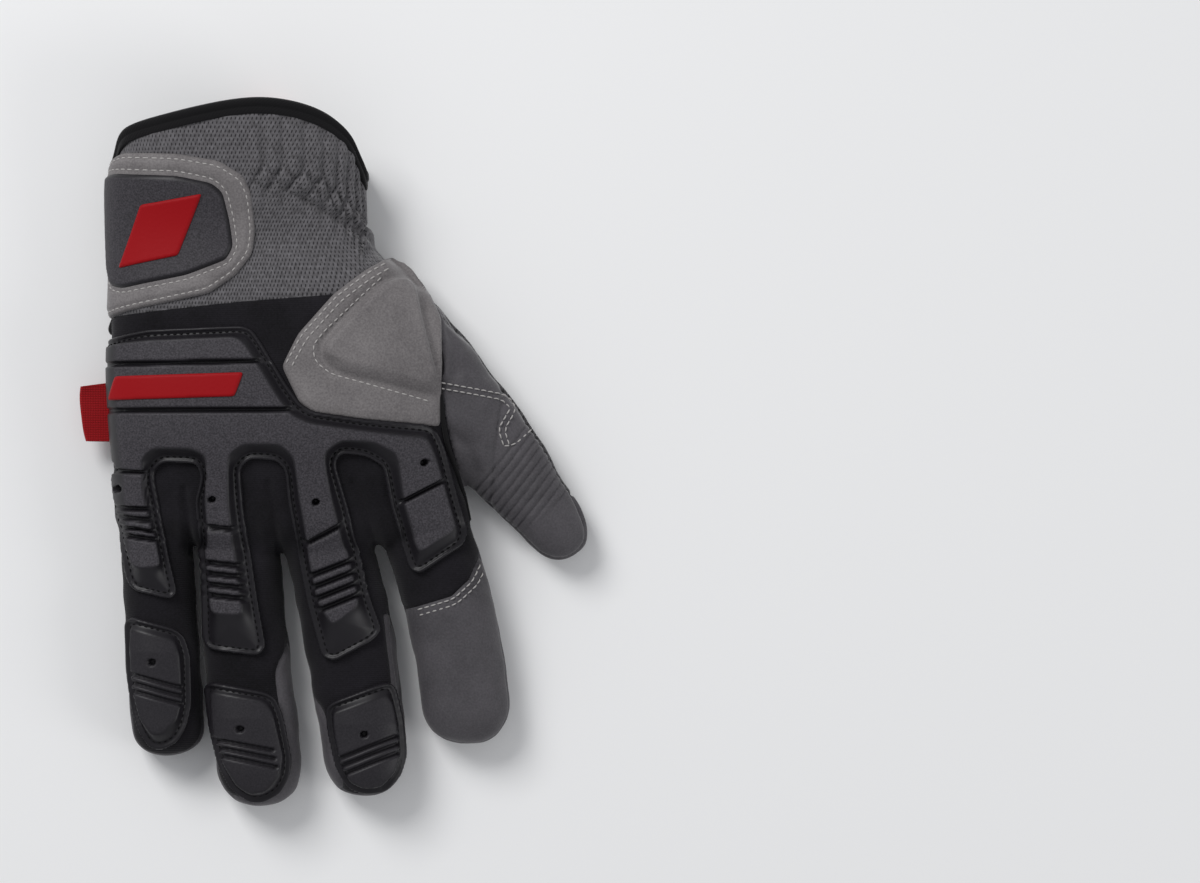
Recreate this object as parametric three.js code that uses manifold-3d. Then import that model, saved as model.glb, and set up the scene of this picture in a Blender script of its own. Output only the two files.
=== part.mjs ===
// An impact work glove for a right hand, lying palm down as it rests on a bench.
// Millimetres, +Z up. The back of the hand faces +Z, the fingers point along -Y, and the thumb is at +X.
// A thin sewn shell is split at its side seam into leather below and fabric above. Moulded rubber guards,
// a padded thumb saddle, a wrist tab and suede palm pads lie on it, each one a separate solid.

import * as THREE from "three";
import { mergeVertices } from "three/addons/utils/BufferGeometryUtils.js";
import Module from "manifold-3d";

const wasm = await Module();
wasm.setup();

// Driving sizes
const WALL = 2; // leather or fabric with its lining
const GAP = 0.3; // between any two pieces that touch
const SEAM_Z = 10.5; // height of the side seam above the bench
const PALM_FLOOR = 1.8; // the palm leather stands clear of the bench by the thickness of its pads
const FINGER_BASE_Y = -32; // where the finger sleeves leave the palm
const BINDING_OUT = 0.9; // how far the edge binding stands out of the shell
const BINDING_IN = 0.6; // and into it
const PAD_THICK = 1.5;
const FLANGE_THICK = 1.3; // the thin sewn rim of a rubber guard
const GUARD_HEIGHT = 4; // the raised faces of the guards
const GUARD_CUT = 1.6; // depth of the grooves and vents in them
const TIP_GUARD_HEIGHT = 3;
const TIP_GUARD_CUT = 1;
const TAB_THICK = 2;
const PATCH_THICK = 1.4;
const RELIEF = 0.8; // raised shapes on the patch and on the guard
const SADDLE_THICK = 1.2;
const FOAM_THICK = 3; // the padded face of the saddle, above its leather
const TAG_THICK = 1.2;
const LOOP_THICK = 1.2;
const CORNER_STEPS = 1; // faces round a rounded corner of an outline
const HIGH = 70; // taller than the glove, for cutting prisms
const FAR = 140; // past the tips of the fingers
const WIDE = 200; // past the sides of the glove
const SHIFT = { x: -0.34, y: -0.18, z: 0 }; // moves the middle of the glove's box to the origin

// The sleeves of the hand. Each row is a section: along = place on the sleeve's axis, centre = its middle,
// half = half its width, top = highest point, floor = where the bench or the palm pads flatten it.
// The first row of each is hidden in the palm.
const SLEEVES = {
  palm: {
    axis: [0, -1],
    across: [1, 0],
    power: 2.5,
    low: -5,
    tip: { length: 12, narrows: 0.12 },
    rows: [
      { along: -128, centre: -31.5, half: 41.4, top: 42.0, floor: 3.0 },
      { along: -97, centre: -31.6, half: 43.9, top: 38.5, floor: 3.0 },
      { along: -88, centre: -32.2, half: 44.5, top: 35.5, floor: 3.0 },
      { along: -79, centre: -32.8, half: 43.7, top: 33.3, floor: 2.5 },
      { along: -70, centre: -30.5, half: 45.8, top: 33.2, floor: 2.0 },
      { along: -59, centre: -25.5, half: 50.6, top: 34.5, floor: PALM_FLOOR },
      { along: -46, centre: -21.4, half: 54.4, top: 36.0, floor: PALM_FLOOR },
      { along: -28, centre: -19.3, half: 57.0, top: 37.0, floor: PALM_FLOOR },
      { along: -4, centre: -17.5, half: 57.5, top: 36.0, floor: PALM_FLOOR },
      { along: 20, centre: -12.9, half: 59.0, top: 29.5, floor: PALM_FLOOR },
    ],
  },
  pinky: {
    axis: [0, -1],
    across: [1, 0],
    power: 2.3,
    low: -3,
    tip: { length: 11.6, narrows: 1 },
    rows: [
      { along: -12, centre: -57.0, half: 9.5, top: 22.0, floor: 5.0 },
      { along: 9, centre: -59.6, half: 12.0, top: 25.0, floor: 3.0 },
      { along: 36, centre: -59.3, half: 12.6, top: 23.5, floor: PALM_FLOOR },
      { along: 56, centre: -58.6, half: 12.3, top: 22.0, floor: 0 },
      { along: 92, centre: -56.3, half: 12.6, top: 18.5, floor: 0 },
    ],
  },
  ring: {
    axis: [0, -1],
    across: [1, 0],
    power: 2.3,
    low: -3,
    tip: { length: 17, narrows: 1 },
    rows: [
      { along: -12, centre: -36.0, half: 11.0, top: 22.0, floor: 5.0 },
      { along: 9, centre: -33.5, half: 12.5, top: 26.0, floor: 3.0 },
      { along: 36, centre: -31.3, half: 14.0, top: 25.0, floor: PALM_FLOOR },
      { along: 58, centre: -30.0, half: 14.6, top: 23.5, floor: 0 },
      { along: 84, centre: -27.5, half: 15.0, top: 21.0, floor: 0 },
      { along: 104, centre: -24.8, half: 14.6, top: 19.0, floor: 0 },
    ],
  },
  middle: {
    axis: [0, -1],
    across: [1, 0],
    power: 2.3,
    low: -3,
    tip: { length: 17.3, narrows: 1 },
    rows: [
      { along: -12, centre: -9.0, half: 12.0, top: 22.0, floor: 5.0 },
      { along: 9, centre: -6.0, half: 14.0, top: 26.0, floor: 3.0 },
      { along: 36, centre: 0.4, half: 15.5, top: 25.0, floor: PALM_FLOOR },
      { along: 56, centre: 5.0, half: 16.0, top: 23.8, floor: 0 },
      { along: 84, centre: 9.1, half: 15.2, top: 21.0, floor: 0 },
      { along: 100, centre: 11.4, half: 14.4, top: 19.0, floor: 0 },
    ],
  },
  index: {
    axis: [0, -1],
    across: [1, 0],
    power: 2.3,
    low: -3,
    tip: { length: 15.5, narrows: 1 },
    rows: [
      { along: -12, centre: 20.0, half: 13.0, top: 22.0, floor: 5.0 },
      { along: 9, centre: 27.0, half: 15.0, top: 26.0, floor: 3.0 },
      { along: 36, centre: 35.8, half: 16.0, top: 25.0, floor: PALM_FLOOR },
      { along: 56, centre: 41.4, half: 15.6, top: 23.4, floor: 0 },
      { along: 84, centre: 46.3, half: 15.2, top: 20.0, floor: 0 },
    ],
  },
  thumb: {
    axis: [0.62, -0.7846],
    across: [0.7846, 0.62],
    power: 2.2,
    low: -3,
    tip: { length: 15, narrows: 1 },
    ribs: { from: 34, to: 62, pitch: 5.6, height: 0.9 },
    rows: [
      { along: -42, centre: 44.5, half: 9.0, top: 18.0, floor: 6.0 },
      { along: -16, centre: 45.4, half: 15.6, top: 28.0, floor: 4.0 },
      { along: 25, centre: 45.3, half: 15.3, top: 25.0, floor: 0 },
      { along: 41, centre: 45.2, half: 14.3, top: 22.0, floor: 0 },
      { along: 55, centre: 44.7, half: 12.4, top: 19.5, floor: 0 },
      { along: 64, centre: 45.0, half: 10.5, top: 17.5, floor: 0 },
    ],
  },
};
const FINGERS = ["pinky", "ring", "middle", "index"];
const EVERY_SLEEVE = ["palm", ...FINGERS, "thumb"];

// Each finger's strip of the bench: x of its edges at the roots of the fingers and past their tips
const FINGER_ZONES = {
  pinky: { left: -90, leftTip: -90, right: -46.1, rightTip: -42 },
  ring: { left: -46.1, leftTip: -42, right: -16.4, rightTip: -7 },
  middle: { left: -16.4, leftTip: -7, right: 16.3, rightTip: 28 },
  index: { left: 16.3, leftTip: 28, right: 70, rightTip: 70 },
};

// Gathers of the wrist elastic over the back of the cuff. The elastic runs from y = high at the angle
// "to" of the section down to y = low at the angle "from", draws the cuff in, and puffs it up in folds.
const GATHER = { from: 5, to: 85, step: 5, folds: 4, high: 99, low: 76, reach: 13, puff: 1.3, draw: 1.0 };

// Degrees between the points of a section, where it has no gathers. The flattened underside needs few.
const PALM_ANGLES = [85, 105, 125, 145, 165, 185, 203, 218, 250, 290, 322, 337, 351];
const GATHERED_STEP = 20;
const SLEEVE_ANGLES = [0, 30, 60, 90, 120, 150, 180, 208, 232, 308, 332];
const INNER_SLEEVE_ANGLES = [0, 36, 72, 108, 144, 180, 212, 236, 304, 328];

// The cuff's edge: how far back it reaches at each angle, in degrees, round the section
const RIM = [
  { degrees: 5, y: 96.5 }, { degrees: 24, y: 102 }, { degrees: 35, y: 108 }, { degrees: 54, y: 115.5 },
  { degrees: 69, y: 119 }, { degrees: 85, y: 121.1 }, { degrees: 110, y: 116 }, { degrees: 131, y: 112.5 },
  { degrees: 148, y: 108.5 }, { degrees: 168, y: 101 }, { degrees: 185, y: 99 }, { degrees: 205, y: 103 },
  { degrees: 230, y: 109 }, { degrees: 270, y: 113 }, { degrees: 305, y: 108 }, { degrees: 335, y: 101 },
  { degrees: 365, y: 96.5 },
];
const BINDING_WIDE = 5.6;

// Seams on the back of the hand, along the root of the thumb and over the index finger: x, y
const MESH_LINE = [[-84, 45.5], [-61, 48.6], [-29, 52], [3, 54.5], [60, 60]];
const THUMB_LINE = [
  [30, 84], [38, 66], [40.2, 50], [40.2, 8], [44.9, -9], [49.5, -21], [54.5, -30], [66, -60], [70, -FAR],
];
const WRAP_LINE = [[16, -59], [70, -44]];

// Seams of the thumb, measured along and across its own axis
const THUMB_MIDDLE = 45; // between the leather and the mesh
const CAP_START = 60; // between the mesh and the cap

// Outlines of what lies on the shell, seen from above: x, y, and the radius of the corner there
const KNUCKLE_GUARD = [
  [-84, 39.2, 0], [-25, 44.2, 5], [-12, 20, 10], [-4, 13.7, 0], [36, 9.6, 3],
  [42, -12, 0], [47.3, -31, 4], [29.3, -42.6, 4], [21, -17, 0], [17.2, -1.6, 5], [2.2, 1.4, 4],
  [6.8, -18, 0], [17.9, -62.6, 4], [-1.2, -72.4, 4], [-7.2, -51, 0], [-15.4, -1.7, 5],
  [-30, -1.2, 4], [-28.9, -18, 0], [-21.3, -69.8, 4], [-42.4, -67.6, 4], [-44, -36, 0],
  [-44.6, -2.4, 4], [-60, -2.4, 4], [-57.6, -16.5, 0], [-51.3, -50.6, 3],
  [-69.6, -46.9, 3], [-71.3, -16, 0], [-84, -5, 0],
];
const MAIN_PLATE = [
  [-84, 36, 0], [-29, 40.6, 3], [-15, 18, 0], [-6, 10.5, 0], [33.5, 6.3, 3],
  [40, -15, 0], [43, -29.4, 3], [31.6, -37.6, 3], [25, -17, 0], [20.4, 2.6, 5], [-1.6, 5.6, 4],
  [2.6, -18, 0], [13, -61, 3], [0.8, -67.6, 3], [-4, -51, 0], [-12.4, 2.6, 5],
  [-34, 3, 5], [-32.8, -18, 0], [-25.6, -65.6, 3], [-39, -64, 3], [-40.6, -38, 0],
  [-41, 1, 5], [-63.5, 1, 5], [-61.4, -16, 0], [-56.4, -46.4, 2], [-66.6, -43.4, 2], [-68.5, -16, 0],
  [-84, -3, 0],
];
const TIP_GUARDS = {
  pinky: [
    [-70, -53.9, 3], [-48.3, -58.5, 4], [-46.3, -85, 0],
    [-50.5, -101.8, 9], [-65.5, -101.5, 9], [-69.3, -76, 0],
  ],
  ring: [
    [-43.3, -76.7, 3], [-18.8, -80.6, 5], [-14.2, -104, 0],
    [-16.5, -119.4, 9], [-34.5, -118.6, 10], [-41.2, -96, 0],
  ],
  middle: [
    [-2, -86.6, 3], [21.6, -76.8, 4], [25.2, -100, 0],
    [22.6, -114.8, 9], [4.6, -116.2, 9], [-0.8, -99, 0],
  ],
};
const TIP_FACES = {
  pinky: [
    [-66.8, -57.4, 2], [-52, -60.6, 2], [-49.6, -84, 0],
    [-53.4, -97.8, 5], [-63.4, -97.6, 5], [-66.4, -76, 0],
  ],
  ring: [
    [-40, -80.4, 2], [-23, -83.6, 2], [-18, -103, 0],
    [-21, -114.6, 5], [-32, -114.2, 5], [-37.8, -96, 0],
  ],
  middle: [
    [1.6, -88.6, 2], [18, -81.4, 2], [21.6, -99.6, 0],
    [19.4, -110.6, 5], [7.6, -111.4, 5], [2.6, -99, 0],
  ],
};
const WRIST_TAB = [
  [-84, 98.4, 0], [-68, 102.8, 20], [-30, 100.4, 12], [-24.4, 70, 14], [-29.5, 55.4, 12], [-84, 46, 0],
];
const TAB_PATCH = [
  [-75, 94, 4], [-60, 96, 30], [-36.8, 93.2, 6], [-31.2, 66, 8], [-72.2, 54.6, 5], [-77.6, 76, 20],
];
const TAB_EMBLEM = [[-64, 84, 1], [-44, 87, 1], [-50, 68, 1], [-70, 65, 1]];
const GUARD_STRIPE = [[-66, 27.6, 0.6], [-26, 28.4, 0.6], [-29, 22.6, 0.6], [-69, 21.8, 0.6]];
const THUMB_SADDLE = [
  [-16.2, 30.6, 2], [-10, 41.5, 20], [3, 55.8, 20], [21, 67.6, 3], [38.6, 51, 12], [38.6, 11.6, 2],
  [-3.4, 16.2, 8],
];
const SADDLE_PAD = [[22.8, 60.8, 5], [28, 54, 6], [36.6, 20.4, 4], [-5, 31.4, 7]];
const KNUCKLE_PAD = [
  [-64.6, -37.6, 6], [-55.4, -37.4, 5], [-48.5, -22, 8], [-41.6, -20.4, 8], [-37.5, -27, 6], [-35, -41, 5],
  [-25.4, -41, 5], [-20, -27.6, 8], [-12.6, -25, 8], [-7, -31, 6], [-3.6, -37.4, 5], [6.4, -36.4, 5],
  [14, -20.8, 8], [20.6, -18, 8], [27.4, -28, 6], [31, -39.4, 6], [44.6, -36, 6], [43.6, 3, 3],
  [19, 4.6, 20], [-30, 0, 40], [-61.4, 1, 3], [-67.6, -12, 12],
];
const HEEL_PAD = [
  [-61.6, 2.2, 2], [-30, 1.2, 40], [19, 6, 20], [27.6, 14, 10], [31.4, 46, 16], [11.6, 80.6, 6],
  [-12.2, 89.2, 5], [-15.6, 60, 20], [-17.4, 36, 6], [-30, 33.4, 6], [-29, 56, 20], [-27.6, 85, 6],
  [-52, 87.6, 16], [-70.6, 46, 20], [-69, 14, 8], [-48, 11.4, 2],
];
const PULL_LOOP = { left: -31.4, right: -13.6, sewn: 93, end: 119.3, folded: 9, bottom: 0.4, top: 7.2 };
const SIDE_TAG = { left: -87, right: -74.6, low: 4.2, high: 25, bottom: 9 };

// How low the cutting prism of each piece reaches, so that it takes only one side of the shell
const LOWEST = { guard: 13, plate: 16, tipGuard: 9, tab: 12, patch: 15, relief: 20, saddle: 14 };
const PAD_HIGHEST = 7;

// Cuts in the raised faces: a line from, to, and the half width of the cut
const GROOVES = [
  { from: [-84, 29.8], to: [-19, 31.6], half: 0.8 },
  { from: [-84, 14.6], to: [34, 6.6], half: 0.8 },
  { from: [-71, -5.6], to: [-58, -5.8], half: 0.7 },
  { from: [-43.4, -20.4], to: [-31, -22], half: 0.8 },
  { from: [-9, -22.6], to: [4, -16.4], half: 0.8 },
  { from: [26, -15.4], to: [40, -7.8], half: 0.8 },
];
const VENTS = [
  { from: [-70.6, -16.6], to: [-57, -18.4], step: [0.35, -3.3], count: 4, half: 0.7 },
  { from: [-42.6, -34.2], to: [-28, -36.6], step: [0.3, -3.6], count: 4, half: 0.8 },
  { from: [-7.2, -39.4], to: [7.4, -33], step: [0.75, -3.9], count: 4, half: 0.8 },
];
const TIP_GROOVES = {
  pinky: [{ from: [-67, -75.6], to: [-50, -77.4], step: [0.3, -3.4], count: 3, half: 0.6 }],
  ring: [{ from: [-39, -98.6], to: [-18, -100], step: [0.6, -3.3], count: 3, half: 0.6 }],
  middle: [{ from: [3, -103.4], to: [22, -98], step: [0.5, -3.3], count: 3, half: 0.6 }],
};

function signedPower(value, power) {
  return Math.sign(value) * Math.abs(value) ** power;
}

// How far the elastic lifts or dips the cuff at this angle, in degrees, round a section
function gatherAt(along, degrees) {
  const share = (degrees - GATHER.from) / (GATHER.to - GATHER.from);
  if (share < 0 || share > 1) return 0;
  const away = Math.abs(-along - THREE.MathUtils.lerp(GATHER.low, GATHER.high, share));
  const near = Math.max(0, 1 - away / GATHER.reach) * Math.sin(Math.PI * share) ** 0.5;
  return near * (GATHER.puff * Math.cos(share * GATHER.folds * 2 * Math.PI) - GATHER.draw);
}

// The angles, in degrees, of the points of a section. The cuff has more of them where it is gathered.
function sectionAngles(name, along, inner) {
  const angles = [];
  if (name === "palm") {
    const gathered = !inner && -along > GATHER.low - GATHER.reach;
    const step = gathered ? GATHER.step : GATHERED_STEP;
    for (let a = GATHER.from; a < GATHER.to; a += step) angles.push(a);
    return [...angles, ...PALM_ANGLES];
  }
  return inner ? INNER_SLEEVE_ANGLES : SLEEVE_ANGLES;
}

// A row of a table at any place between its rows
function rowAt(rows, column, place) {
  const after = Math.max(1, rows.findIndex((row) => row[column] >= place));
  const [a, b] = [rows[after - 1], rows[after]];
  const share = (place - a[column]) / (b[column] - a[column]);
  const row = {};
  for (const key of Object.keys(a)) row[key] = a[key] + (b[key] - a[key]) * share;
  return row;
}

// One point of a section, at an angle in degrees. It is grown outward by grow, or shrunk when that is
// below 0, and wide and high scale it towards the tip of the sleeve.
function sectionPoint(name, row, degrees, grow, wide = 1, high = 1) {
  const sleeve = SLEEVES[name];
  const angle = THREE.MathUtils.degToRad(degrees);
  const lift = name === "palm" && grow >= 0 ? gatherAt(row.along, degrees) : 0;
  const rib = (row.rib ?? 0) * Math.max(0, Math.sin(angle));
  const half = (row.half + grow) * wide + lift;
  const rise = ((row.top - sleeve.low) / 2 + grow) * high + lift + rib;
  const a = row.centre + half * signedPower(Math.cos(angle), 2 / sleeve.power);
  const b = rise * signedPower(Math.sin(angle), 2 / sleeve.power);
  return new THREE.Vector3(
    row.along * sleeve.axis[0] + a * sleeve.across[0],
    row.along * sleeve.axis[1] + a * sleeve.across[1],
    Math.max(row.floor - grow, (row.top + sleeve.low) / 2 + b),
  );
}

function sectionRing(name, row, grow, wide, high) {
  const angles = sectionAngles(name, row.along, grow < 0);
  return { angles, points: angles.map((degrees) => sectionPoint(name, row, degrees, grow, wide, high)) };
}

// The rows of a sleeve, with more rows between them where it is ribbed
function ribbedRows({ rows, ribs }) {
  if (!ribs) return rows;
  const between = [];
  for (let along = ribs.from, i = 0; along <= ribs.to; along += ribs.pitch / 2, i += 1) {
    between.push({ ...rowAt(rows, "along", along), rib: i % 2 ? ribs.height : 0 });
  }
  const outside = rows.filter((row) => row.along < ribs.from - 1 || row.along > ribs.to + 1);
  return [...outside, ...between].sort((a, b) => a.along - b.along);
}

// The faces between two rings that start at the same angle, which may have unlike numbers of points.
function bandFaces(near, far) {
  const faces = [];
  const turn = (ring, i) => (i < ring.angles.length ? ring.angles[i] : ring.angles[0] + 360);
  const at = (ring, i) => ring.start + (i % ring.angles.length);
  for (let i = 0, j = 0; i < near.angles.length || j < far.angles.length; ) {
    if (j === far.angles.length || (i < near.angles.length && turn(near, i + 1) <= turn(far, j + 1))) {
      faces.push(at(near, i), at(near, i + 1), at(far, j));
      i += 1;
    } else {
      faces.push(at(near, i), at(far, j + 1), at(far, j));
      j += 1;
    }
  }
  return faces;
}

// A closed surface through rings of points, with a fan over each end, or joined end to end as a hoop
function loft(rings, hoop = false) {
  const positions = [];
  const faces = [];
  for (const ring of rings) {
    ring.start = positions.length / 3;
    for (const p of ring.points) positions.push(p.x, p.y, p.z);
  }
  for (let r = 0; r + 1 < rings.length; r += 1) faces.push(...bandFaces(rings[r], rings[r + 1]));
  if (hoop) faces.push(...bandFaces(rings.at(-1), rings[0]));
  for (const [ring, first] of hoop ? [] : [[rings[0], true], [rings.at(-1), false]]) {
    const sides = ring.points.length;
    const middle = ring.points.reduce((sum, p) => sum.add(p), new THREE.Vector3()).divideScalar(sides);
    const hub = positions.length / 3;
    positions.push(middle.x, middle.y, middle.z);
    for (let i = 0; i < sides; i += 1) {
      const [a, b] = [ring.start + i, ring.start + ((i + 1) % sides)];
      faces.push(...(first ? [hub, b, a] : [hub, a, b]));
    }
  }
  const geometry = new THREE.BufferGeometry();
  geometry.setAttribute("position", new THREE.Float32BufferAttribute(positions, 3));
  geometry.setIndex(faces);
  return geometry;
}

// A sleeve as a solid: its table of sections, then a rounded tip.
function sleeveSolid(name, grow) {
  const { rows, tip } = SLEEVES[name];
  const [first, last] = [rows[0], rows.at(-1)];
  const body = grow < 0 ? rows : ribbedRows(SLEEVES[name]);
  const rings = body.map((row) => {
    const along = row.along === first.along ? row.along - grow : row.along;
    return sectionRing(name, { ...row, along }, grow);
  });
  for (const turn of grow < 0 ? [40, 76] : [30, 58, 80]) {
    const angle = THREE.MathUtils.degToRad(turn);
    const along = last.along + (tip.length + grow) * Math.sin(angle);
    const round = Math.cos(angle) ** 0.85;
    rings.push(sectionRing(name, { ...last, along }, grow, 1 - tip.narrows * (1 - round), round));
  }
  return solidOf(loft(rings));
}

function solidOf(geometry) {
  const bare = geometry.clone();
  for (const name of Object.keys(bare.attributes)) {
    if (name !== "position") bare.deleteAttribute(name);
  }
  const merged = mergeVertices(bare, 1e-4);
  const solid = new wasm.Manifold(
    new wasm.Mesh({
      numProp: 3,
      vertProperties: new Float32Array(merged.attributes.position.array),
      triVerts: new Uint32Array(merged.index.array),
    }),
  );
  if (solid.volume() > 0) return solid;
  const turned = merged.index.array.slice();
  for (let i = 0; i < turned.length; i += 3) [turned[i], turned[i + 1]] = [turned[i + 1], turned[i]];
  merged.setIndex([...turned]);
  return solidOf(merged);
}

function geometryOf(solid) {
  const mesh = solid.getMesh();
  const geometry = new THREE.BufferGeometry();
  geometry.setAttribute("position", new THREE.Float32BufferAttribute(Array.from(mesh.vertProperties), 3));
  geometry.setIndex(largestBody(mesh));
  const loose = geometry.toNonIndexed();
  loose.computeVertexNormals();
  return loose;
}

// The indexed triangles of a solid's largest body, without the slivers that a cut may leave beside it
function largestBody({ vertProperties, triVerts }) {
  const parent = Array.from({ length: vertProperties.length / 3 }, (_, i) => i);
  const root = (i) => {
    while (parent[i] !== i) i = parent[i] = parent[parent[i]];
    return i;
  };
  for (let t = 0; t < triVerts.length; t += 3) {
    parent[root(triVerts[t + 1])] = root(triVerts[t]);
    parent[root(triVerts[t + 2])] = root(triVerts[t]);
  }
  const bodies = new Map();
  for (let t = 0; t < triVerts.length; t += 3) {
    const body = root(triVerts[t]);
    if (!bodies.has(body)) bodies.set(body, []);
    bodies.get(body).push(triVerts[t], triVerts[t + 1], triVerts[t + 2]);
  }
  return [...bodies.values()].sort((a, b) => b.length - a.length)[0];
}

// A flat outline with each corner rounded by its radius
function roundedShape(corners) {
  const points = corners.map(([x, y]) => new THREE.Vector2(x, y));
  const shape = new THREE.Shape();
  corners.forEach(([, , radius], i) => {
    const here = points[i];
    const back = points.at(i - 1).clone().sub(here);
    const ahead = points[(i + 1) % points.length].clone().sub(here);
    const reach = Math.min(cornerReach(radius, back, ahead), back.length() * 0.45, ahead.length() * 0.45);
    const start = here.clone().addScaledVector(back.normalize(), reach);
    const end = here.clone().addScaledVector(ahead.normalize(), reach);
    if (i === 0) shape.moveTo(start.x, start.y);
    else shape.lineTo(start.x, start.y);
    if (reach > 0.05) shape.quadraticCurveTo(here.x, here.y, end.x, end.y);
  });
  return shape;
}

// How far from a corner an arc of this radius touches its two sides
function cornerReach(radius = 0, back, ahead) {
  const half = back.angleTo(ahead) / 2;
  return radius / Math.tan(Math.max(half, 0.1));
}

function prism(corners, low = -HIGH, high = HIGH) {
  const geometry = new THREE.ExtrudeGeometry(roundedShape(corners), {
    depth: high - low,
    bevelEnabled: false,
    curveSegments: CORNER_STEPS,
  });
  return solidOf(geometry.translate(0, 0, low));
}

// A straight cut from above: a box along a line from one point to another
function slot(from, to, half) {
  const [dx, dy] = [to[0] - from[0], to[1] - from[1]];
  const box = new THREE.BoxGeometry(Math.hypot(dx, dy), 2 * half, HIGH);
  box.rotateZ(Math.atan2(dy, dx));
  return solidOf(box.translate((from[0] + to[0]) / 2, (from[1] + to[1]) / 2, HIGH / 2));
}

function repeatedSlots(rows) {
  return rows.flatMap(({ from, to, step = [0, 0], count = 1, half }) =>
    Array.from({ length: count }, (_, i) => {
      const moved = ([x, y]) => [x + i * step[0], y + i * step[1]];
      return slot(moved(from), moved(to), half);
    }),
  );
}

// The region on the finger side of a line
function below(line, shift = 0) {
  const [first, last] = [line[0], line.at(-1)];
  const edge = line.map(([x, y]) => [x, y + shift]);
  return prism([[first[0], -WIDE], ...edge, [last[0], -WIDE]]);
}

// A ring round the cuff, set back from its edge by a distance and grown like a section, or scaled by wide
function cuffRing(setback, grow, wide = 1, floor) {
  const angles = sectionAngles("palm", -100, false);
  const points = angles.map((degrees) => {
    const along = setback - rowAt(RIM, "degrees", degrees).y;
    const row = rowAt(SLEEVES.palm.rows, "along", along);
    return sectionPoint("palm", floor === undefined ? row : { ...row, floor }, degrees, grow, wide, wide);
  });
  return { angles, points };
}

// Everything on the finger side of a ring round the cuff, for cutting square to its wall. Two wide rings
// lead round the whole hand: one past the fingertips, and one well outside the cuff.
function fingerSideOfCuff(setback) {
  const grow = 0.1;
  const pastTips = { ...SLEEVES.palm.rows.at(-1), along: 2 * FAR, floor: -1000 };
  const far = sectionRing("palm", pastTips, grow, 10, 20);
  const around = cuffRing(setback, grow, 1.5, -100);
  return solidOf(loft([far, around, cuffRing(setback, BINDING_OUT), cuffRing(setback, -WALL - BINDING_IN)]));
}

function add(solids) {
  return solids.reduce((sum, solid) => sum.add(solid));
}

function slab(low, high) {
  return prism([[-WIDE, -WIDE], [WIDE, -WIDE], [WIDE, WIDE], [-WIDE, WIDE]], low, high);
}

// The whole hand as one solid, grown outward by grow. Each size is made once.
const grownHands = new Map();
function hand(grow, names = EVERY_SLEEVE) {
  const key = `${grow}/${names}`;
  if (!grownHands.has(key)) grownHands.set(key, add(names.map((name) => sleeveSolid(name, grow))));
  return grownHands.get(key);
}

// A layer that lies on the hand, from one height above the shell to another, inside an outline.
function layer(from, to, cutter, names = EVERY_SLEEVE) {
  return hand(to, names).subtract(hand(from, names)).intersect(cutter);
}

// The shell and its panels
const shell = hand(0).subtract(hand(-WALL));
const upper = slab(SEAM_Z + GAP / 2, HIGH);
const lower = slab(-HIGH, SEAM_Z - GAP / 2);
const insideCuff = fingerSideOfCuff(BINDING_WIDE + GAP);
const fingerRoots = [[-WIDE, FINGER_BASE_Y], [WIDE, FINGER_BASE_Y]];
const palmSide = slab(-HIGH, HIGH).subtract(below(fingerRoots, GAP / 2));
const thumbSide = (shift) =>
  prism([...THUMB_LINE.map(([x, y]) => [x + shift, y]), [WIDE, -FAR], [WIDE, THUMB_LINE[0][1]]]);
const withoutThumb = thumbSide(-GAP / 2);

function fingerZone(name) {
  const { left, right, leftTip, rightTip } = FINGER_ZONES[name];
  const base = FINGER_BASE_Y - GAP / 2;
  const side = GAP / 2;
  return prism([[left + side, base], [leftTip + side, -FAR], [rightTip - side, -FAR], [right - side, base]]);
}

const nodes = [];
function node(name, solid, material) {
  nodes.push({ name, solid, material });
}

const MATERIALS = {
  leather: { color: 0x4b494b, roughness: 0.75 },
  suede: { color: 0x232226, roughness: 0.95 },
  stretchFabric: { color: 0x161619, roughness: 0.9 },
  mesh: { color: 0x4a4a4d, roughness: 0.9 },
  rubber: { color: 0x333338, roughness: 0.6 },
  trim: { color: 0x6b6769, roughness: 0.8 },
  binding: { color: 0x0f0f11, roughness: 0.9 },
  redWebbing: { color: 0xa01420, roughness: 0.85 },
  redRubber: { color: 0xb01020, roughness: 0.5 },
};

// Palm leather, from the cuff to the roots of the fingers, and the back panels over it
const body = shell.subtract(withoutThumb).intersect(palmSide);
node("palm_leather", body.intersect(lower).intersect(insideCuff), "leather");
node("cuff_mesh", body.intersect(upper).intersect(insideCuff).subtract(below(MESH_LINE, GAP / 2)), "mesh");
node("back_fabric", body.intersect(upper).intersect(below(MESH_LINE, -GAP / 2)), "stretchFabric");

// Finger sleeves: leather in front, stretch fabric behind, and a leather wrap over the tip of the index
for (const name of FINGERS) {
  const sleeve = shell.subtract(withoutThumb).intersect(fingerZone(name));
  node(`${name}_front`, sleeve.intersect(lower), "leather");
  const back = sleeve.intersect(upper);
  if (name === "index") {
    node("index_back", back.subtract(below(WRAP_LINE, GAP / 2)), "stretchFabric");
    node("index_wrap", back.intersect(below(WRAP_LINE, -GAP / 2)), "leather");
  } else {
    node(`${name}_back`, back, "stretchFabric");
  }
}

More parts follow.
